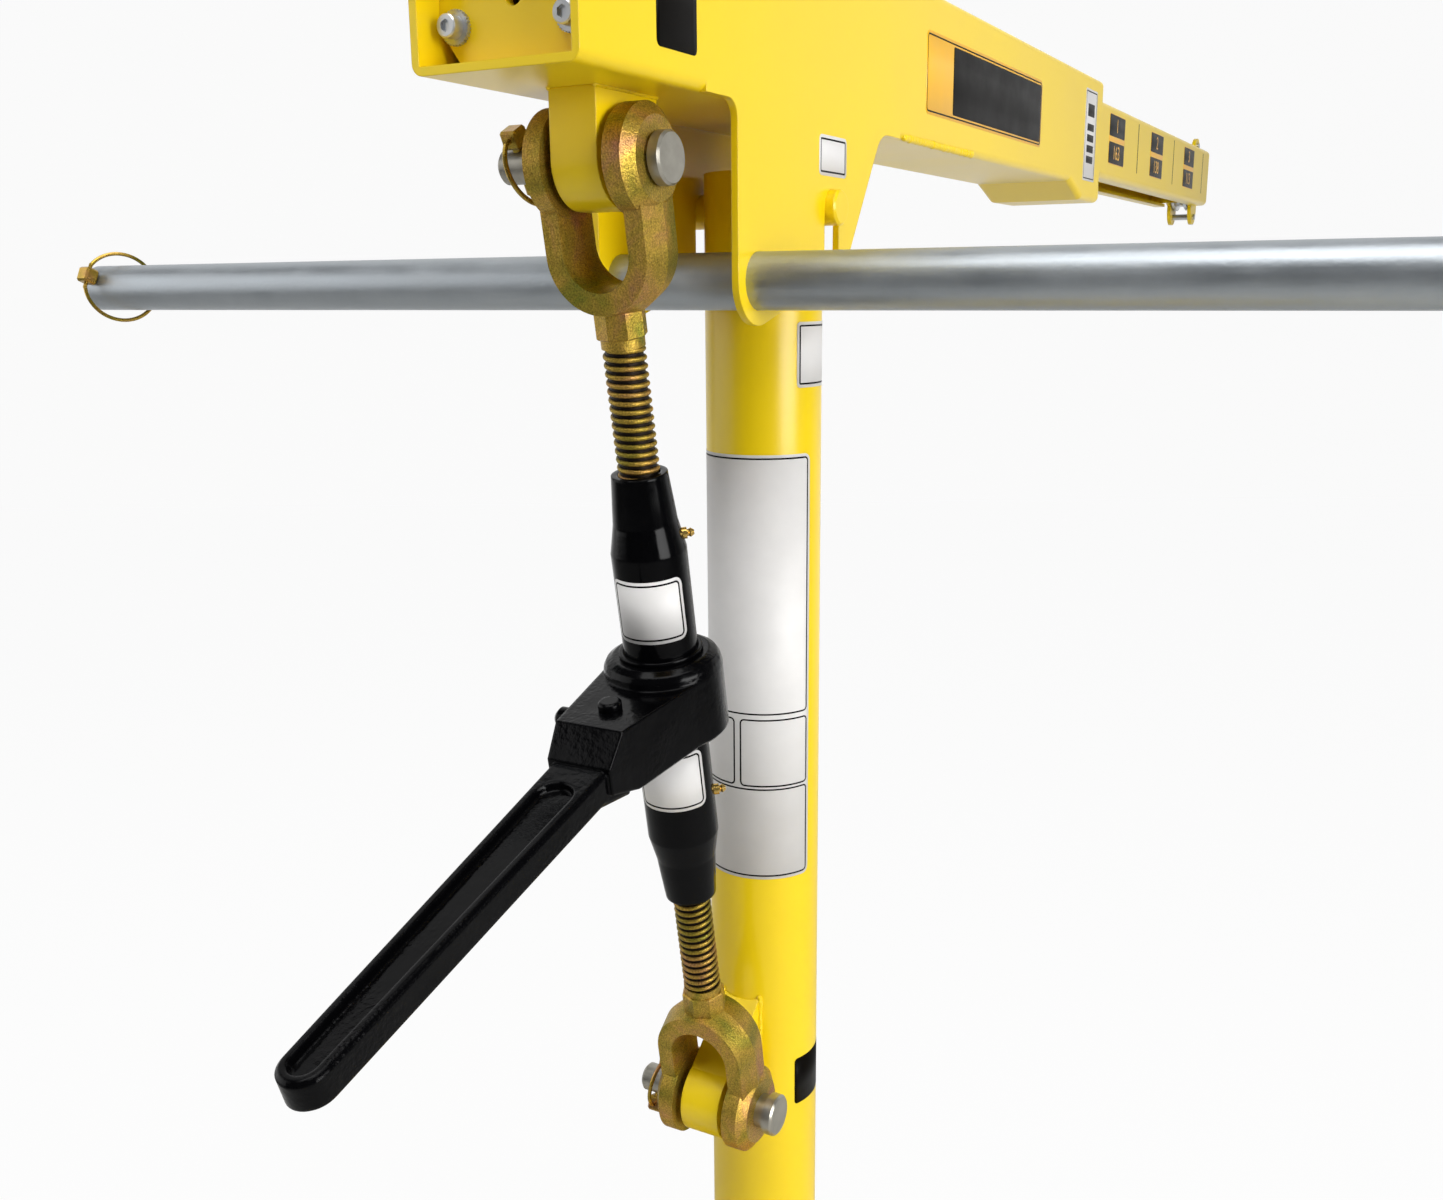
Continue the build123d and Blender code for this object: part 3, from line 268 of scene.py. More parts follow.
# %% [markdown]
# ## Bare and zinc-grey steels
# Galvanised pipe has a blue-grey skin with cloudy patches, faint streaks along its length and a fine spangle that
# breaks its soft reflections. Turned pins show tool rings about their own axis, so their wave texture is centred
# on the pin by a Mapping node. Bright zinc on the winch and screws is smoother and paler, and brass is its yellow
# cousin.


# %% Galvanised pipe
def galvanised_pipe():
    made, tree, shader, place = new_finish("galvanised_pipe")
    along = add(tree, "ShaderNodeMapping", {"Vector": place, "Scale": (1.0, 0.12, 1.0)})
    streak = add(tree, "ShaderNodeTexNoise", {
        "Vector": along.outputs["Vector"], "Scale": per_mm(7), "Detail": 5.0})
    cloud = add(tree, "ShaderNodeTexNoise", {
        "Vector": place, "Scale": per_mm(45), "Detail": 5.0, "Roughness": 0.65})
    both = add(tree, "ShaderNodeMix", {
        0: 0.4, 2: cloud.outputs["Fac"], 3: streak.outputs["Fac"]}, data_type="FLOAT")
    tint = add(tree, "ShaderNodeMix", {
        0: both.outputs[0], 6: hex_colour("#8E959B"), 7: hex_colour("#BCC1C5")}, data_type="RGBA")
    gloss = add(tree, "ShaderNodeMapRange", {"Value": both.outputs[0], 1: 0.3, 2: 0.7, 3: 0.34, 4: 0.52})
    spangle = add(tree, "ShaderNodeTexNoise", {"Vector": place, "Scale": per_mm(3.0), "Detail": 2.0})
    bump = add(tree, "ShaderNodeBump", {"Height": spangle.outputs["Fac"], "Strength": 0.35, "Distance": 0.4 * MM})
    fill(tree, shader, {"Base Color": tint.outputs[2], "Normal": bump.outputs["Normal"],
                        "Roughness": gloss.outputs["Result"], "Metallic": 0.85})
    return made


GALVANISED = galvanised_pipe()
print(GALVANISED.name)

# %% Turned and plated metals
WAVE_FACTOR = 20  # Blender's wave texture multiplies its place by this


def turned_steel(name, centre):
    """Bare steel with tool rings about a Y axis through a centre point."""
    made, tree, shader, place = new_finish(name)
    about = add(tree, "ShaderNodeMapping", {"Vector": place, "Location": -centre})
    rings = add(tree, "ShaderNodeTexWave", {
        "Vector": about.outputs["Vector"], "Scale": per_mm(2.2) / WAVE_FACTOR, "Distortion": 0.6, "Detail": 2.0},
        wave_type="RINGS", rings_direction="Y")
    haze = add(tree, "ShaderNodeTexNoise", {"Vector": place, "Scale": per_mm(9), "Detail": 3.0})
    tint = add(tree, "ShaderNodeMix", {
        0: haze.outputs["Fac"], 6: hex_colour("#8C887D"), 7: hex_colour("#B4B0A5")}, data_type="RGBA")
    bump = add(tree, "ShaderNodeBump", {"Height": rings.outputs["Fac"], "Strength": 0.15, "Distance": 0.2 * MM})
    gloss = add(tree, "ShaderNodeMapRange", {"Value": haze.outputs["Fac"], 3: 0.26, 4: 0.38})
    fill(tree, shader, {"Base Color": tint.outputs[2], "Normal": bump.outputs["Normal"],
                        "Roughness": gloss.outputs["Result"], "Metallic": 0.8})
    return made


def bright_metal(name, pale, dark, rough):
    """Smooth plated or drawn metal, hazy in soft patches."""
    made, tree, shader, place = new_finish(name)
    haze = add(tree, "ShaderNodeTexNoise", {"Vector": place, "Scale": per_mm(14), "Detail": 4.0})
    tint = add(tree, "ShaderNodeMix", {
        0: haze.outputs["Fac"], 6: hex_colour(dark), 7: hex_colour(pale)}, data_type="RGBA")
    gloss = add(tree, "ShaderNodeMapRange", {"Value": haze.outputs["Fac"], 3: rough - 0.06, 4: rough + 0.08})
    fill(tree, shader, {"Base Color": tint.outputs[2], "Roughness": gloss.outputs["Result"], "Metallic": 0.85})
    return made


ZINC = bright_metal("bright_zinc_plate", "#D4D6D8", "#B4B7BA", 0.30)
BRASS = bright_metal("bare_brass", "#D9B96A", "#B8934A", 0.24)
PIN_STEEL = {node: turned_steel("turned_steel_" + node, node_centre(node)) for node in (
    "upper_clevis_pin", "lower_clevis_pin", "sheave_axle", "drum_axle")}
print(ZINC.name, BRASS.name, "and", len(PIN_STEEL), "turned finishes")

# %% [markdown]
# ## Plastics, rubber and vinyl
# Wear pads and bushings are self-coloured nylon, sawn and milled, so they are matt with a fine grain. The crank
# grip is moulded rubber. The plates on the crane are printed vinyl: smooth, with a faint waviness from the hand
# that pressed them on. Their black ink is flat, so it stays black where a slanting look would make vinyl shine.


# %% Nylon, rubber and vinyl
def dull_polymer(name, colour, grain_mm, relief, rough, gleam=0.5):
    made, tree, shader, place = new_finish(name)
    grain = add(tree, "ShaderNodeTexNoise", {"Vector": place, "Scale": per_mm(grain_mm), "Detail": 3.0})
    bump = add(tree, "ShaderNodeBump", {"Height": grain.outputs["Fac"], "Strength": relief, "Distance": 0.2 * MM})
    gloss = add(tree, "ShaderNodeMapRange", {"Value": grain.outputs["Fac"], 3: rough - 0.08, 4: rough + 0.08})
    shade = add(tree, "ShaderNodeMapRange", {"Value": grain.outputs["Fac"], 3: 0.93, 4: 1.05})
    tint = add(tree, "ShaderNodeHueSaturation", {"Color": hex_colour(colour), "Value": shade.outputs["Result"]})
    fill(tree, shader, {"Base Color": tint.outputs["Color"], "Normal": bump.outputs["Normal"],
                        "Roughness": gloss.outputs["Result"], "Specular IOR Level": gleam})
    return made


NYLON = dull_polymer("black_nylon", "#151515", 1.2, 0.20, 0.55)
RUBBER = dull_polymer("black_rubber", "#101010", 0.8, 0.25, 0.70)
WHITE_VINYL = dull_polymer("white_vinyl", "#DFDDDB", 22, 0.06, 0.50)
AMBER_VINYL = dull_polymer("amber_vinyl", "#F3B71E", 22, 0.06, 0.34)
BLACK_VINYL = dull_polymer("black_vinyl", "#0C0A08", 22, 0.06, 0.34, gleam=0.05)
print(NYLON.name, RUBBER.name, WHITE_VINYL.name, AMBER_VINYL.name, BLACK_VINYL.name)

# %% [markdown]
# ## Dressing the solids
# Every CAD node gets its finish by assigning to its material slots. Nothing about its shape changes.

# %% Assign finishes
BY_SLOT = {"yellow_paint": YELLOW, "black_enamel": BLACK_SMOOTH, "gold_zinc": CHROMATE_SMOOTH,
           "galvanised": GALVANISED, "turned_steel": ZINC, "silver_zinc": ZINC, "brass": BRASS,
           "black_nylon": NYLON, "black_rubber": RUBBER}
BY_NODE = {"ratchet_handle": BLACK_CAST, "upper_clevis": CHROMATE_FORGED, "lower_clevis": CHROMATE_FORGED,
           **PIN_STEEL}
slots = {part["node"]: part["material_slot"] for part in frame["record"]["subparts"]}
for node, shape in frame["nodes"].items():
    shape.data.materials.clear()
    shape.data.materials.append(BY_NODE.get(node, BY_SLOT[slots[node]]))
print(len(slots), "nodes dressed")

# %% [markdown]
# ## Meshes from node trees
# What repeats is made by Geometry Nodes: a tree with named inputs is put on a starting mesh, its inputs are set
# by socket identifier, and the evaluated result becomes a plain mesh at the origin. That keeps the export simple,
# because instances and live modifiers would be lost.


# %% Geometry Nodes helper
def geometry_tree(name, inputs):
    """A new tree with a geometry input and output and named inputs of given socket kinds."""
    tree = bpy.data.node_groups.new(name, "GeometryNodeTree")
    tree.interface.new_socket("Geometry", in_out="INPUT", socket_type="NodeSocketGeometry")
    for label_text, kind in inputs.items():
        tree.interface.new_socket(label_text, in_out="INPUT", socket_type="NodeSocket" + kind)
    tree.interface.new_socket("Geometry", in_out="OUTPUT", socket_type="NodeSocketGeometry")
    return tree, add(tree, "NodeGroupInput").outputs, add(tree, "NodeGroupOutput").inputs


def close_tree(tree, geometry, material, out):
    """Every tree ends the same way: real meshes with one finish."""
    real = add(tree, "GeometryNodeRealizeInstances", {"Geometry": geometry})
    painted = add(tree, "GeometryNodeSetMaterial", {"Geometry": real.outputs["Geometry"], "Material": material})
    tree.links.new(painted.outputs["Geometry"], out["Geometry"])
    return tree


def grow(name, tree, start, values, place=None):
    """Runs a tree on a starting mesh and returns the result as a plain mesh object at the origin."""
    seed = bpy.data.objects.new(name, start)
    bpy.context.collection.objects.link(seed)
    modifier = seed.modifiers.new("grow", "NODES")
    modifier.node_group = tree
    sockets = {item.name: item.identifier for item in tree.interface.items_tree if item.in_out == "INPUT"}
    for label_text, value in values.items():
        modifier[sockets[label_text]] = value
    view = bpy.context.evaluated_depsgraph_get()
    result = bpy.data.meshes.new_from_object(seed.evaluated_get(view))
    seed.modifiers.remove(modifier)
    seed.data = result
    if place is not None:
        result.transform(place)
    result.name = name
    return seed


def path_mesh(lines):
    """Starting mesh for a tree that follows lines: joined edges through points in millimetres."""
    points, edges = [], []
    for line in lines:
        edges += [(len(points) + k, len(points) + k + 1) for k in range(len(line) - 1)]
        points += [Vector(p) * MM for p in line]
    made = bpy.data.meshes.new("path")
    made.from_pydata(points, edges, [])
    return made


# %% [markdown]
# ## Screw threads
# The binder's screws have coarse rolled threads, 5.68 mm from crest to crest, right-handed above and left-handed
# below. A thread is a rounded ridge swept along a spiral: Blender's spiral curve gives the path, and a small
# circle is its section. The screw's core is the CAD solid, and the thread stops just short of its inner end.


# %% Thread tree
def thread_tree():
    tree, given, out = geometry_tree("rolled_thread", {
        "Ridge Radius": "Float", "Path Radius": "Float", "Length": "Float", "Turns": "Float", "Left Hand": "Bool",
        "Finish": "Material"})
    spiral = add(tree, "GeometryNodeCurveSpiral", {
        "Resolution": 28, "Rotations": given["Turns"], "Start Radius": given["Path Radius"],
        "End Radius": given["Path Radius"], "Height": given["Length"], "Reverse": given["Left Hand"]})
    section = add(tree, "GeometryNodeCurvePrimitiveCircle", {"Resolution": 10, "Radius": given["Ridge Radius"]})
    ridge = add(tree, "GeometryNodeCurveToMesh", {
        "Curve": spiral.outputs["Curve"], "Profile Curve": section.outputs["Curve"], "Fill Caps": True})
    smooth = add(tree, "GeometryNodeSetShadeSmooth", {"Geometry": ridge.outputs["Mesh"]})
    return close_tree(tree, smooth.outputs["Geometry"], given["Finish"], out)


THREAD = thread_tree()
THREAD_PITCH, RIDGE_R, SCREW_INNER, END_GAP = 5.68, 1.85, 72.0, 3
thread_mm = BINDER_MM / 2 - SCREW_INNER - THREAD_FROM - END_GAP
upper_start = BINDER_MM / 2 + SCREW_INNER + END_GAP
for body, start, left in (("binder_lower", THREAD_FROM, True), ("binder_upper", upper_start, False)):
    thread = grow(body + "_thread", THREAD, path_mesh([[(0, 0, 0), (0, 0, 1)]]), {
        "Ridge Radius": RIDGE_R * MM, "Path Radius": (CREST_R - RIDGE_R) * MM, "Length": thread_mm * MM,
        "Turns": thread_mm / THREAD_PITCH, "Left Hand": left, "Finish": CHROMATE_FORGED},
        BINDER @ Matrix.Translation((0, 0, start * MM)))
    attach(thread, body)
    print(thread.name, len(thread.data.polygons), "faces")

# %% [markdown]
# ## Weld beads
# Lugs, sockets and gussets are joined by fillet welds under the paint. A bead is a row of overlapping ripples, so
# a small flattened sphere is set at every few millimetres along the seam, each slightly uneven. The seed is fixed,
# so the bead is the same each time.


# %% Weld tree
def weld_tree():
    tree, given, out = geometry_tree("weld_bead", {
        "Width": "Float", "Step": "Float", "Seed": "Int", "Finish": "Material"})
    seam = add(tree, "GeometryNodeMeshToCurve", {"Mesh": given["Geometry"]})
    beads = add(tree, "GeometryNodeCurveToPoints", {
        "Curve": seam.outputs["Curve"], "Length": given["Step"]}, mode="LENGTH")
    ripple = add(tree, "GeometryNodeMeshUVSphere", {"Segments": 10, "Rings": 6, "Radius": given["Width"]})
    uneven = add(tree, "FunctionNodeRandomValue", {
        "Min": (0.8, 0.85, 0.85), "Max": (1.0, 1.1, 1.1), "Seed": given["Seed"]}, data_type="FLOAT_VECTOR")
    row = add(tree, "GeometryNodeInstanceOnPoints", {
        "Points": beads.outputs["Points"], "Instance": ripple.outputs["Mesh"],
        "Rotation": beads.outputs["Rotation"], "Scale": uneven.outputs["Value"]})
    smooth = add(tree, "GeometryNodeSetShadeSmooth", {"Geometry": row.outputs["Instances"]})
    return close_tree(tree, smooth.outputs["Geometry"], given["Finish"], out)


WELD = weld_tree()
WELD_SEED = 7


def weld(name, body, seams, width=3.0):
    """A painted bead of a given half width along seams in millimetres."""
    bead = grow(name, WELD, path_mesh(seams), {
        "Width": width * MM, "Step": width * MM, "Seed": WELD_SEED, "Finish": YELLOW})
    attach(bead, body)
    print(name, len(bead.data.polygons), "faces")


def both_sides(line):
    """A seam and its mirror image across the crane's middle plane."""
    return [line, [(x, -y, z) for x, y, z in line]]


def box_mm(node):
    """The two corners of a CAD node's box, in millimetres."""
    return tuple(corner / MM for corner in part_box(node))


# %% [markdown]
# The seams are read from the solids they join. Those of the boom are along its lug, and a short stitch on each
# side where the shell's halves meet, half way round the bend of its lower edge.

# %% Boom seams
SHELL_BEND, STITCH_X = 7.0, (146, 313)
SHELL_HALF = box_mm("boom_shell")[1].y
lug_low, lug_high = box_mm("boom_lug")
lug_seam = [(x, lug_high.y, lug_high.z) for x in (lug_low.x, lug_high.x)]
weld("boom_lug_weld", "boom", both_sides(lug_seam), 1.6)
bend_in = SHELL_BEND * (1 - math.sqrt(0.5))
stitch = [(x, SHELL_HALF - bend_in, lug_high.z + bend_in) for x in STITCH_X]
weld("shell_stitch_weld", "boom", both_sides(stitch), 3.6)

# %% [markdown]
# On the mast a seam runs down each side of its lug. On the pedestal one goes round the socket's foot, and each of
# the four gussets has two along the plate and two up the socket.

# %% Mast and pedestal seams
GUSSET_HALF, RING_STEP = 5.0, 6
MAST_R = box_mm("mast_tube")[1].x
lug_low, lug_high = box_mm("mast_lug")
foot_x = -math.sqrt(MAST_R ** 2 - lug_high.y ** 2)
weld("mast_lug_weld", "mast", both_sides([(foot_x, lug_high.y, z) for z in (lug_low.z, lug_high.z)]), 2.6)
plate_top = box_mm("base_plate")[1].z
SOCKET_R = box_mm("base_socket")[1].x
gusset_foot, gusset_top = box_mm("base_gussets")[1].x, box_mm("base_gussets")[1].z
angles = [math.radians(a) for a in range(0, 361, RING_STEP)]
ring = [(SOCKET_R * math.cos(a), SOCKET_R * math.sin(a), plate_top) for a in angles]
seams = [ring]
for quarter in range(4):
    spin = Matrix.Rotation(math.radians(90 * quarter), 3, "Z")
    for half in (-GUSSET_HALF, GUSSET_HALF):
        for reach, top in ((gusset_foot, plate_top), (SOCKET_R, gusset_top)):
            seams.append([spin @ Vector((SOCKET_R, half, plate_top)), spin @ Vector((reach, half, top))])
weld("pedestal_welds", "base", seams)

# %% [markdown]
# ## Label plates
# Printed vinyl plates are 0.12 mm thick, some flat and some wrapped on the mast and the barrel. A plate is drawn
# in its own flat sheet, u across and v up, as a rounded rectangle in upright columns, so it can bend round a pipe.
# A small function then puts each point on the surface. Ink is a second layer on the first, a hair thicker.

# %% Plate outlines
BEND_STEPS = 6


def rounded_columns(width, height, corner, step, at=(0.0, 0.0)):
    """Quads in (u, v) that fill a rounded rectangle, in upright columns."""
    edge = [corner * (1 - math.cos(math.radians(90 * k / BEND_STEPS))) - width / 2 for k in range(BEND_STEPS)]
    flat = width - 2 * corner
    count = max(1, round(flat / step))
    columns = edge + [flat * (k / count - 0.5) for k in range(count + 1)] + [-e for e in reversed(edge)]

    def half(u):
        inside = max(0.0, corner - (width / 2 - abs(u)))
        return height / 2 - corner + math.sqrt(max(0.0, corner ** 2 - inside ** 2))

    return [tuple((u + at[0], v * half(u) + at[1]) for u, v in ((a, -1), (b, -1), (b, 1), (a, 1)))
            for a, b in zip(columns, columns[1:])]


def outline_cells(width, height, corner, line, step, at=(0.0, 0.0)):
    """Quads in (u, v) of an even line just inside a rounded rectangle's edge."""
    flat = width - 2 * corner
    count = max(1, round(flat / step))
    walk = []
    for quarter, (su, sv) in enumerate(((1, 1), (-1, 1), (-1, -1), (1, -1))):
        middle = (su * flat / 2, sv * (height / 2 - corner))
        walk += [(*middle, math.radians(90 * (quarter + k / BEND_STEPS))) for k in range(BEND_STEPS + 1)]
        if quarter in (0, 2):
            walk += [(su * flat * (0.5 - k / count), middle[1], walk[-1][2]) for k in range(1, count)]
    rims = [[(u + reach * math.cos(a) + at[0], v + reach * math.sin(a) + at[1]) for u, v, a in walk]
            for reach in (corner - line, corner)]
    inner, outer = rims
    nexts = range(1, len(walk) + 1)
    return [(inner[k - 1], outer[k - 1], outer[k % len(walk)], inner[k % len(walk)]) for k in nexts]


# %% [markdown]
# The next cell turns such quads into a closed thin solid. The rim is every edge that only one quad uses.


# %% Thin plates
def thin_plate(name, body, wrap, layers):
    """A closed thin piece from layers of (quads, low, high, finish) on the surface that wrap describes."""
    made = bpy.data.meshes.new(name)
    places, faces, paints, smooth = [], [], [], []
    for paint, (cells, low, high, material) in enumerate(layers):
        made.materials.append(material)
        points = sorted({p for cell in cells for p in cell})
        index = {p: len(places) + k for k, p in enumerate(points)}
        places += [wrap(u, v, lift) for lift in (high, low) for u, v in points]
        under = len(points)
        tops = [[index[p] for p in cell] for cell in cells]
        runs = {(a, b) for face in tops for a, b in zip(face, face[1:] + face[:1])}
        rim = [[a + under, b + under, b, a] for a, b in sorted(runs) if (b, a) not in runs]
        backs = [[k + under for k in reversed(face)] for face in tops]
        faces += tops + rim + backs
        paints += [paint] * (len(tops) + len(rim) + len(backs))
        smooth += [True] * len(tops) + [False] * (len(rim) + len(backs))
    made.from_pydata(places, [], faces)
    made.polygons.foreach_set("material_index", paints)
    made.polygons.foreach_set("use_smooth", smooth)
    plate = bpy.data.objects.new(name, made)
    bpy.context.collection.objects.link(plate)
    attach(plate, body)
    print(name, len(faces), "faces")


def flat_on(x, y, z):
    """Plate axes on a flat side of the boom, near (y below zero) or far."""
    hand = -1 if y < 0 else 1
    return lambda u, v, lift: Vector((x - hand * u, y + hand * lift, z + v)) * MM


def round_on(axes, radius, angle, height):
    """Plate axes wrapped on a round body: u round it, v along it, lift outwards."""
    def wrap(u, v, lift):
        turn = math.radians(angle) + u / radius
        reach = radius + lift
        return axes @ (Vector((reach * math.cos(turn), reach * math.sin(turn), height + v)) * MM)
    return wrap


# %% [markdown]
# Bare plates follow: a sheet with a thin line round it. The long one is on both sides of the boom, as a crane is
# read from either side. Sizes and places are in millimetres, and heights are counted from the turning bar.

# %% Bare plates
VINYL, INK = 0.12, 0.15
LINE_WIDTH, LINE_INSET, LEAST_CORNER = 1.3, 2.2, 1.4
ONE_PIECE = 60.0


def framed(width, height, corner, ground, ink, panels=(), step=ONE_PIECE):
    """Layers of a bare plate: the sheet, and a thin line inside the edge of each panel."""
    cells = []
    for u, v, w, h in panels or ((0, 0, width, height),):
        cells += outline_cells(w - 2 * LINE_INSET, h - 2 * LINE_INSET, max(corner - LINE_INSET, LEAST_CORNER),
                               LINE_WIDTH, step, (u, v))
    return [(rounded_columns(width, height, corner, step), 0.0, VINYL, ground), (cells, 0.0, INK, ink)]


BAR_MM = BAR_Z / MM
for y, hand in ((-SHELL_HALF, "near"), (SHELL_HALF, "far")):
    turned = -1 if y > 0 else 1
    panel = rounded_columns(272, 56, 2, ONE_PIECE, (turned * 31.5, 0))
    thin_plate("boom_plate_" + hand, "boom", flat_on(359.5, y, BAR_MM + 169),
               framed(343, 66, 6, AMBER_VINYL, BLACK_VINYL) + [(panel, 0.0, INK, BLACK_VINYL)])
bars = [cell for v, tall in ((28, 14), (9, 8), (-3, 8), (-15, 8), (-27, 8))
        for cell in rounded_columns(30, tall, 1, ONE_PIECE, (0, v))]
thin_plate("shell_mouth_plate", "boom", flat_on(738.5, -SHELL_HALF, BAR_MM + 166),
           framed(53, 102, 2, WHITE_VINYL, BLACK_VINYL) + [(bars, 0.0, INK, BLACK_VINYL)])
thin_plate("ear_plate", "boom", flat_on(1, -SHELL_HALF, BAR_MM + 87.5),
           framed(48, 28, 4, WHITE_VINYL, BLACK_VINYL))
thin_plate("shell_rear_plate", "boom", flat_on(-220, -SHELL_HALF, BAR_MM + 158.5),
           [(rounded_columns(46, 59, 4, ONE_PIECE), 0.0, VINYL, BLACK_VINYL)])

# %% [markdown]
# The mast's plates wrap the pipe on the side that faces the reader, and two more wrap the barrel. Narrow columns
# keep the bend round. The tall plate is four panels on one sheet.

# %% Wrapped plates
FACING, MAST_COLUMN, BARREL_COLUMN = 208.7, 3.0, 2.0
UPRIGHT = Matrix.Identity(4)
TALL_PANELS = [(0, 67.5, 124, 205), (-31, -64.2, 62, 60), (31, -64.2, 62, 60), (0, -130.7, 124, 78.6)]
thin_plate("mast_tall_plate", "mast", round_on(UPRIGHT, MAST_R, FACING - 30, BAR_MM - 296),
           framed(124, 340, 6, WHITE_VINYL, BLACK_VINYL, TALL_PANELS, MAST_COLUMN))
thin_plate("mast_top_plate", "mast", round_on(UPRIGHT, MAST_R, FACING + 64, BAR_MM - 53),
           framed(50, 48, 3, WHITE_VINYL, BLACK_VINYL, step=MAST_COLUMN))
thin_plate("mast_foot_plate", "mast", round_on(UPRIGHT, MAST_R, FACING + 65, BAR_MM - 652),
           [(rounded_columns(50, 42, 3, MAST_COLUMN), 0.0, VINYL, BLACK_VINYL)])
BARREL_R = 26.0
for name, from_top in (("barrel_upper_plate", 288), ("barrel_lower_plate", 419)):
    thin_plate(name, "barrel", round_on(BINDER, BARREL_R, FACING - 10, BINDER_MM - from_top),
               framed(56, 45, 6, WHITE_VINYL, BLACK_VINYL, step=BARREL_COLUMN))

# %% [markdown]
# ## Reach marks on the extension
# The extension stops at three places 250 mm apart. Each has a pair of black blocks with plain numbers: the stop's
# number, and the reach in centimetres below it. Between them thin lines show where the shell's mouth comes.
# Blender's own font gives the figures. They are turned into a mesh before they are put in place.

# %% Figures
FIGURE_MM, FIGURE_HALF, CAP_SHARE = 17.0, 0.04, 0.7


def figures(name, body, items, material):
    """One piece from plain numbers: each item is a text, its height in mm and its place."""
    gather = bmesh.new()
    for text, height, place in items:
        curve = bpy.data.curves.new(name, "FONT")
        curve.body, curve.size = text, height / CAP_SHARE * MM
        curve.extrude, curve.resolution_u = FIGURE_HALF * MM, 3
        curve.align_x = curve.align_y = "CENTER"
        flat = bpy.data.objects.new(name, curve)
        bpy.context.collection.objects.link(flat)
        shape = bpy.data.meshes.new_from_object(flat.evaluated_get(bpy.context.evaluated_depsgraph_get()))
        bpy.data.objects.remove(flat)
        shape.transform(place)
        gather.from_mesh(shape)
    made = bpy.data.meshes.new(name)
    gather.to_mesh(made)
    gather.free()
    made.materials.append(material)
    piece = bpy.data.objects.new(name, made)
    bpy.context.collection.objects.link(piece)
    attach(piece, body)
    print(name, len(made.polygons), "faces")


# %% Reach plates
ext_low, ext_high = box_mm("boom_extension")
STOPS = ((917, 163), (1167, 138), (1417, 113))
BLOCK_W, BLOCK_H, BLOCK_RISE, RIM = 84.0, 26.0, 16.5, 2
block_z = BAR_MM + 176
ground = rounded_columns(BLOCK_W + RIM, 2 * BLOCK_RISE + BLOCK_H + RIM, 3, ONE_PIECE)
blocks = [cell for v in (-BLOCK_RISE, BLOCK_RISE)
          for cell in rounded_columns(BLOCK_W, BLOCK_H, 2, ONE_PIECE, (0, v))]
for y, hand in ((ext_low.y, "near"), (ext_high.y, "far")):
    turned = 1 if y < 0 else -1
    stand = Matrix.Rotation(0 if y < 0 else math.pi, 4, "Z") @ Matrix.Rotation(math.pi / 2, 4, "X")
    numbers = []
    for stop, (x, reach) in enumerate(STOPS, 1):
        thin_plate(f"reach_plate_{stop}_{hand}", "extension", flat_on(x, y, block_z),
                   [(ground, 0.0, VINYL, AMBER_VINYL), (blocks, 0.0, INK, BLACK_VINYL)])
        for text, v in ((str(stop), BLOCK_RISE), (str(reach), -BLOCK_RISE)):
            at = Vector((x, y - turned * (INK + FIGURE_HALF), block_z + v)) * MM
            numbers.append((text, FIGURE_MM, Matrix.Translation(at) @ stand))
    figures("reach_figures_" + hand, "extension", numbers, AMBER_VINYL)

# %% [markdown]
# The lines are one short strip repeated along the extension, which is a job for a tree: a mesh line gives the
# points and a thin block is set on each.


# %% Stop lines
def stop_line_tree():
    tree, given, out = geometry_tree("stop_lines", {
        "Count": "Int", "Start": "Vector", "Step": "Vector", "Size": "Vector", "Finish": "Material"})
    row = add(tree, "GeometryNodeMeshLine", {
        "Count": given["Count"], "Start Location": given["Start"], "Offset": given["Step"]}, mode="OFFSET")
    strip = add(tree, "GeometryNodeMeshCube", {"Size": given["Size"]})
    lines = add(tree, "GeometryNodeInstanceOnPoints", {
        "Points": row.outputs["Mesh"], "Instance": strip.outputs["Mesh"]})
    return close_tree(tree, lines.outputs["Instances"], given["Finish"], out)


STOP_LINES = stop_line_tree()
FIRST_LINE_X, LINE_STEP, LINE_SIZE = 1042, 249, (3, 2 * VINYL, 64)
for y, hand in ((ext_low.y, "near"), (ext_high.y, "far")):
    lines = grow("stop_lines_" + hand, STOP_LINES, path_mesh([[(0, 0, 0), (0, 0, 1)]]), {
        "Count": len(STOPS), "Start": (FIRST_LINE_X * MM, y * MM, block_z * MM), "Step": (LINE_STEP * MM, 0, 0),
        "Size": tuple(size * MM for size in LINE_SIZE), "Finish": BLACK_VINYL})
    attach(lines, "extension")
    print(lines.name, len(lines.data.polygons), "faces")

# %% [markdown]
# ## Serrated washers
# The four screws at the boom's rear end sit on washers with a toothed rim that bites into the paint. Each tooth is
# a small block on a circle, turned outwards, and the circle is set on each screw's place.


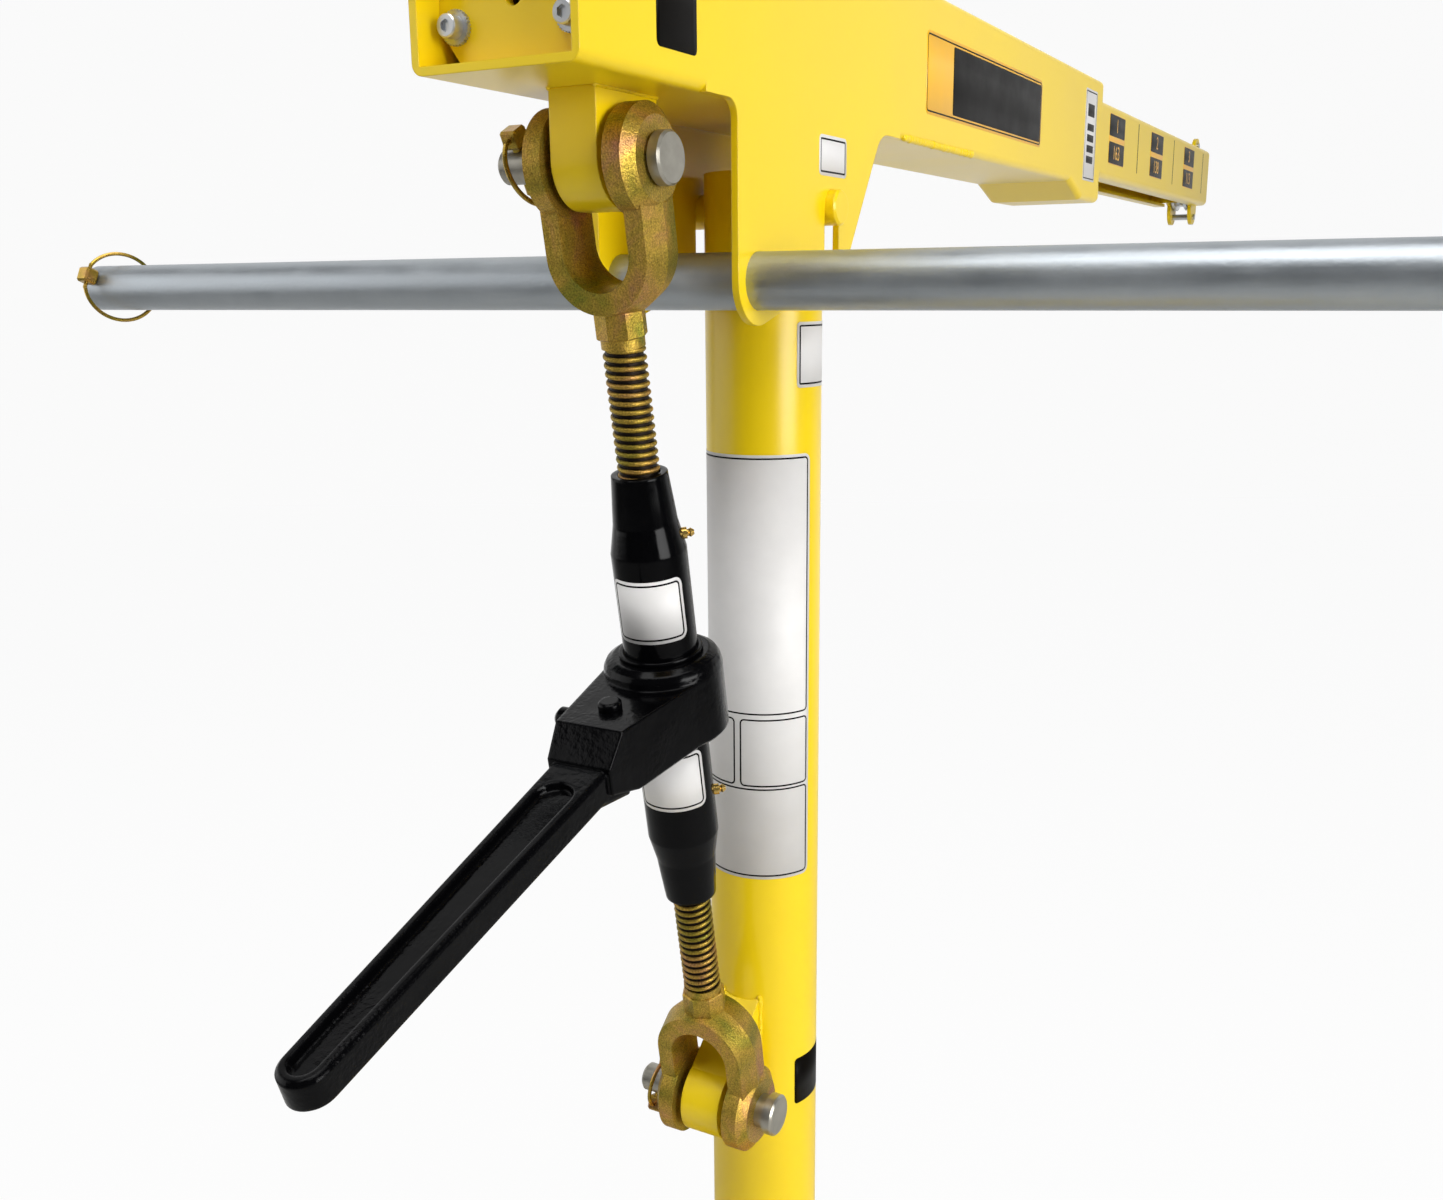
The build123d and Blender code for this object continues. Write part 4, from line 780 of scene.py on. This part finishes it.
# %% Washer teeth
def washer_tree():
    tree, given, out = geometry_tree("washer_teeth", {
        "Teeth": "Int", "Rim Radius": "Float", "Tooth": "Vector", "Finish": "Material"})
    rim = add(tree, "GeometryNodeMeshCircle", {"Vertices": given["Teeth"], "Radius": given["Rim Radius"]})
    spot = add(tree, "GeometryNodeInputPosition")
    outward = add(tree, "FunctionNodeAlignRotationToVector", {"Vector": spot.outputs["Position"]}, axis="X")
    block = add(tree, "GeometryNodeMeshCube", {"Size": given["Tooth"]})
    teeth = add(tree, "GeometryNodeInstanceOnPoints", {
        "Points": rim.outputs["Mesh"], "Instance": block.outputs["Mesh"], "Rotation": outward.outputs["Rotation"]})
    whole = add(tree, "GeometryNodeRealizeInstances", {"Geometry": teeth.outputs["Instances"]})
    washers = add(tree, "GeometryNodeInstanceOnPoints", {
        "Points": given["Geometry"], "Instance": whole.outputs["Geometry"], "Rotation": (0, math.pi / 2, 0)})
    return close_tree(tree, washers.outputs["Instances"], given["Finish"], out)


screw_low, screw_high = box_mm("rear_plate_screws")
WASHER_R, WASHER_THICK, HEAD_RISE = 9.0, 2.5, 10.5
TOOTH_DEEP, TOOTH_WIDE, TOOTH_COUNT = 1.4, 1.0, 30
face_x = screw_low.x + HEAD_RISE - WASHER_THICK / 2
corners = [(face_x, y, z) for y in (screw_low.y + WASHER_R, screw_high.y - WASHER_R)
           for z in (screw_low.z + WASHER_R, screw_high.z - WASHER_R)]
teeth = grow("rear_washer_teeth", washer_tree(), path_mesh([[c] for c in corners]), {
    "Teeth": TOOTH_COUNT, "Rim Radius": WASHER_R * MM,
    "Tooth": (TOOTH_DEEP * MM, TOOTH_WIDE * MM, WASHER_THICK * MM), "Finish": ZINC})
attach(teeth, "boom")
print(teeth.name, len(teeth.data.polygons), "faces")

# %% [markdown]
# ## The studio
# A pale floor and a pale backdrop behind the crane, with soft lamps. The crane is lit from the reader's right, and
# the room on the reader's side stays dark, so the black enamel reflects little. A card on the right, which the
# camera doesn't see, brightens the boom. Behind the crane the paper shows as plain white, to the camera and in
# reflections. Near the crane's foot it fades to lit paper, which takes the crane's shadow.

# %% Studio paper
away = Vector((ahead.x, ahead.y, 0)).normalized()
across = Vector((-away.y, away.x, 0))
PLAIN_SHARE = 0.95


def pale_paper(name, colour):
    """Matt paper that looks plain white behind the crane and well away from its foot."""
    made, tree, shader, place = new_finish(name)
    fill(tree, shader, {"Base Color": hex_colour(colour), "Roughness": 0.9})
    path = add(tree, "ShaderNodeLightPath").outputs
    depth = add(tree, "ShaderNodeVectorMath", {0: place, 1: away}, operation="DOT_PRODUCT").outputs["Value"]
    reach = add(tree, "ShaderNodeVectorMath", {0: place}, operation="LENGTH").outputs["Value"]
    behind = add(tree, "ShaderNodeMapRange", {"Value": depth, 1: -0.6, 2: 0.40, 3: 0.0, 4: PLAIN_SHARE})
    around = add(tree, "ShaderNodeMapRange", {"Value": reach, 1: 0.8, 2: 1.8, 3: 0.0, 4: PLAIN_SHARE})
    seen = add(tree, "ShaderNodeMath", {
        0: behind.outputs["Result"], 1: around.outputs["Result"]}, operation="MAXIMUM")
    plain = add(tree, "ShaderNodeMath", {0: path["Is Camera Ray"], 1: seen.outputs[0]}, operation="MULTIPLY")
    far = add(tree, "ShaderNodeMapRange", {"Value": depth, 1: 0.6, 2: 2.4, 3: 0.0, 4: PLAIN_SHARE})
    mirrored = add(tree, "ShaderNodeMath", {
        0: path["Is Glossy Ray"], 1: path["Is Transmission Ray"]}, operation="MAXIMUM")
    share = add(tree, "ShaderNodeMath", {
        0: mirrored.outputs[0], 1: far.outputs["Result"], 2: plain.outputs[0]}, operation="MULTIPLY_ADD")
    glow = add(tree, "ShaderNodeEmission", {"Color": (1, 1, 1, 1), "Strength": 1.0})
    mix = add(tree, "ShaderNodeMixShader", {0: share.outputs[0], 1: shader.outputs[0], 2: glow.outputs[0]})
    fill(tree, tree.nodes["Material Output"], {"Surface": mix.outputs[0]})
    return made


PAPER = pale_paper("pale_studio_paper", "#DCDCDA")
print(PAPER.name)


# %% Floor, backdrop and card
def sheet(name, corners, seen=True):
    """One flat sheet of the studio's paper, with its corners in metres."""
    made = bpy.data.meshes.new(name)
    made.from_pydata(corners, [], [(0, 1, 2, 3)])
    made.materials.append(PAPER)
    thing = bpy.data.objects.new(name, made)
    thing.visible_camera = seen
    bpy.context.collection.objects.link(thing)


sheet("floor", [(-9, -9, 0), (12, -9, 0), (12, 9, 0), (-9, 9, 0)])
foot = Vector((CAMERA_AT.x, CAMERA_AT.y, 0)) + away * 7
rise = Vector((0, 0, 14))
left_end, right_end = foot + across * 8, foot - across * 4.4
sheet("backdrop", [right_end, left_end, left_end + rise, right_end + rise])
sheet("side_card", [(1.4, -3.0, 0), (6.5, -1.4, 0), (6.5, -1.4, 4), (1.4, -3.0, 4)], seen=False)
print("backdrop", round((left_end - right_end).length, 1), "m wide")

# %% [markdown]
# Three soft lamps light the crane: a key at the reader's right, a weaker fill at the left and one overhead. The
# room looks white to the camera and lights the crane with a dim grey.


# %% Lamps and room
def soft_lamp(name, at, aim, size, watts, spread):
    """A rectangular lamp at a place, aimed at a point, with its size in metres and its spread in degrees."""
    lamp = bpy.data.objects.new(name, bpy.data.lights.new(name, "AREA"))
    lamp.data.shape = "RECTANGLE"
    lamp.data.size, lamp.data.size_y = size
    lamp.data.energy = watts
    lamp.data.spread = math.radians(spread)
    look = (Vector(aim) - Vector(at)).to_track_quat("-Z", "Y")
    lamp.matrix_world = Matrix.Translation(at) @ look.to_matrix().to_4x4()
    bpy.context.collection.objects.link(lamp)


soft_lamp("key", (-0.7, -2.9, 1.35), (0.2, 0, 0.75), (1.8, 1.6), 31, 100)
soft_lamp("fill", (-1.6, 3.0, 1.7), (-0.1, 0, 0.9), (3.6, 2.8), 17, 100)
soft_lamp("overhead", (-0.95, -0.2, 3.4), (-0.1, 0, 1.0), (2.6, 2.0), 33, 120)

room = bpy.data.worlds.new("room")
bpy.context.scene.world = room
room.use_nodes = True
tree = room.node_tree
dim = tree.nodes["Background"]
fill(tree, dim, {"Color": hex_colour("#C9CBCF"), "Strength": 0.16})
white = add(tree, "ShaderNodeBackground", {"Color": (1, 1, 1, 1), "Strength": 1.0})
looked_at = add(tree, "ShaderNodeLightPath").outputs["Is Camera Ray"]
either = add(tree, "ShaderNodeMixShader", {0: looked_at, 1: dim.outputs[0], 2: white.outputs[0]})
fill(tree, tree.nodes["World Output"], {"Surface": either.outputs[0]})
bpy.context.scene.view_settings.view_transform = "Standard"
print("three lamps and a grey room")
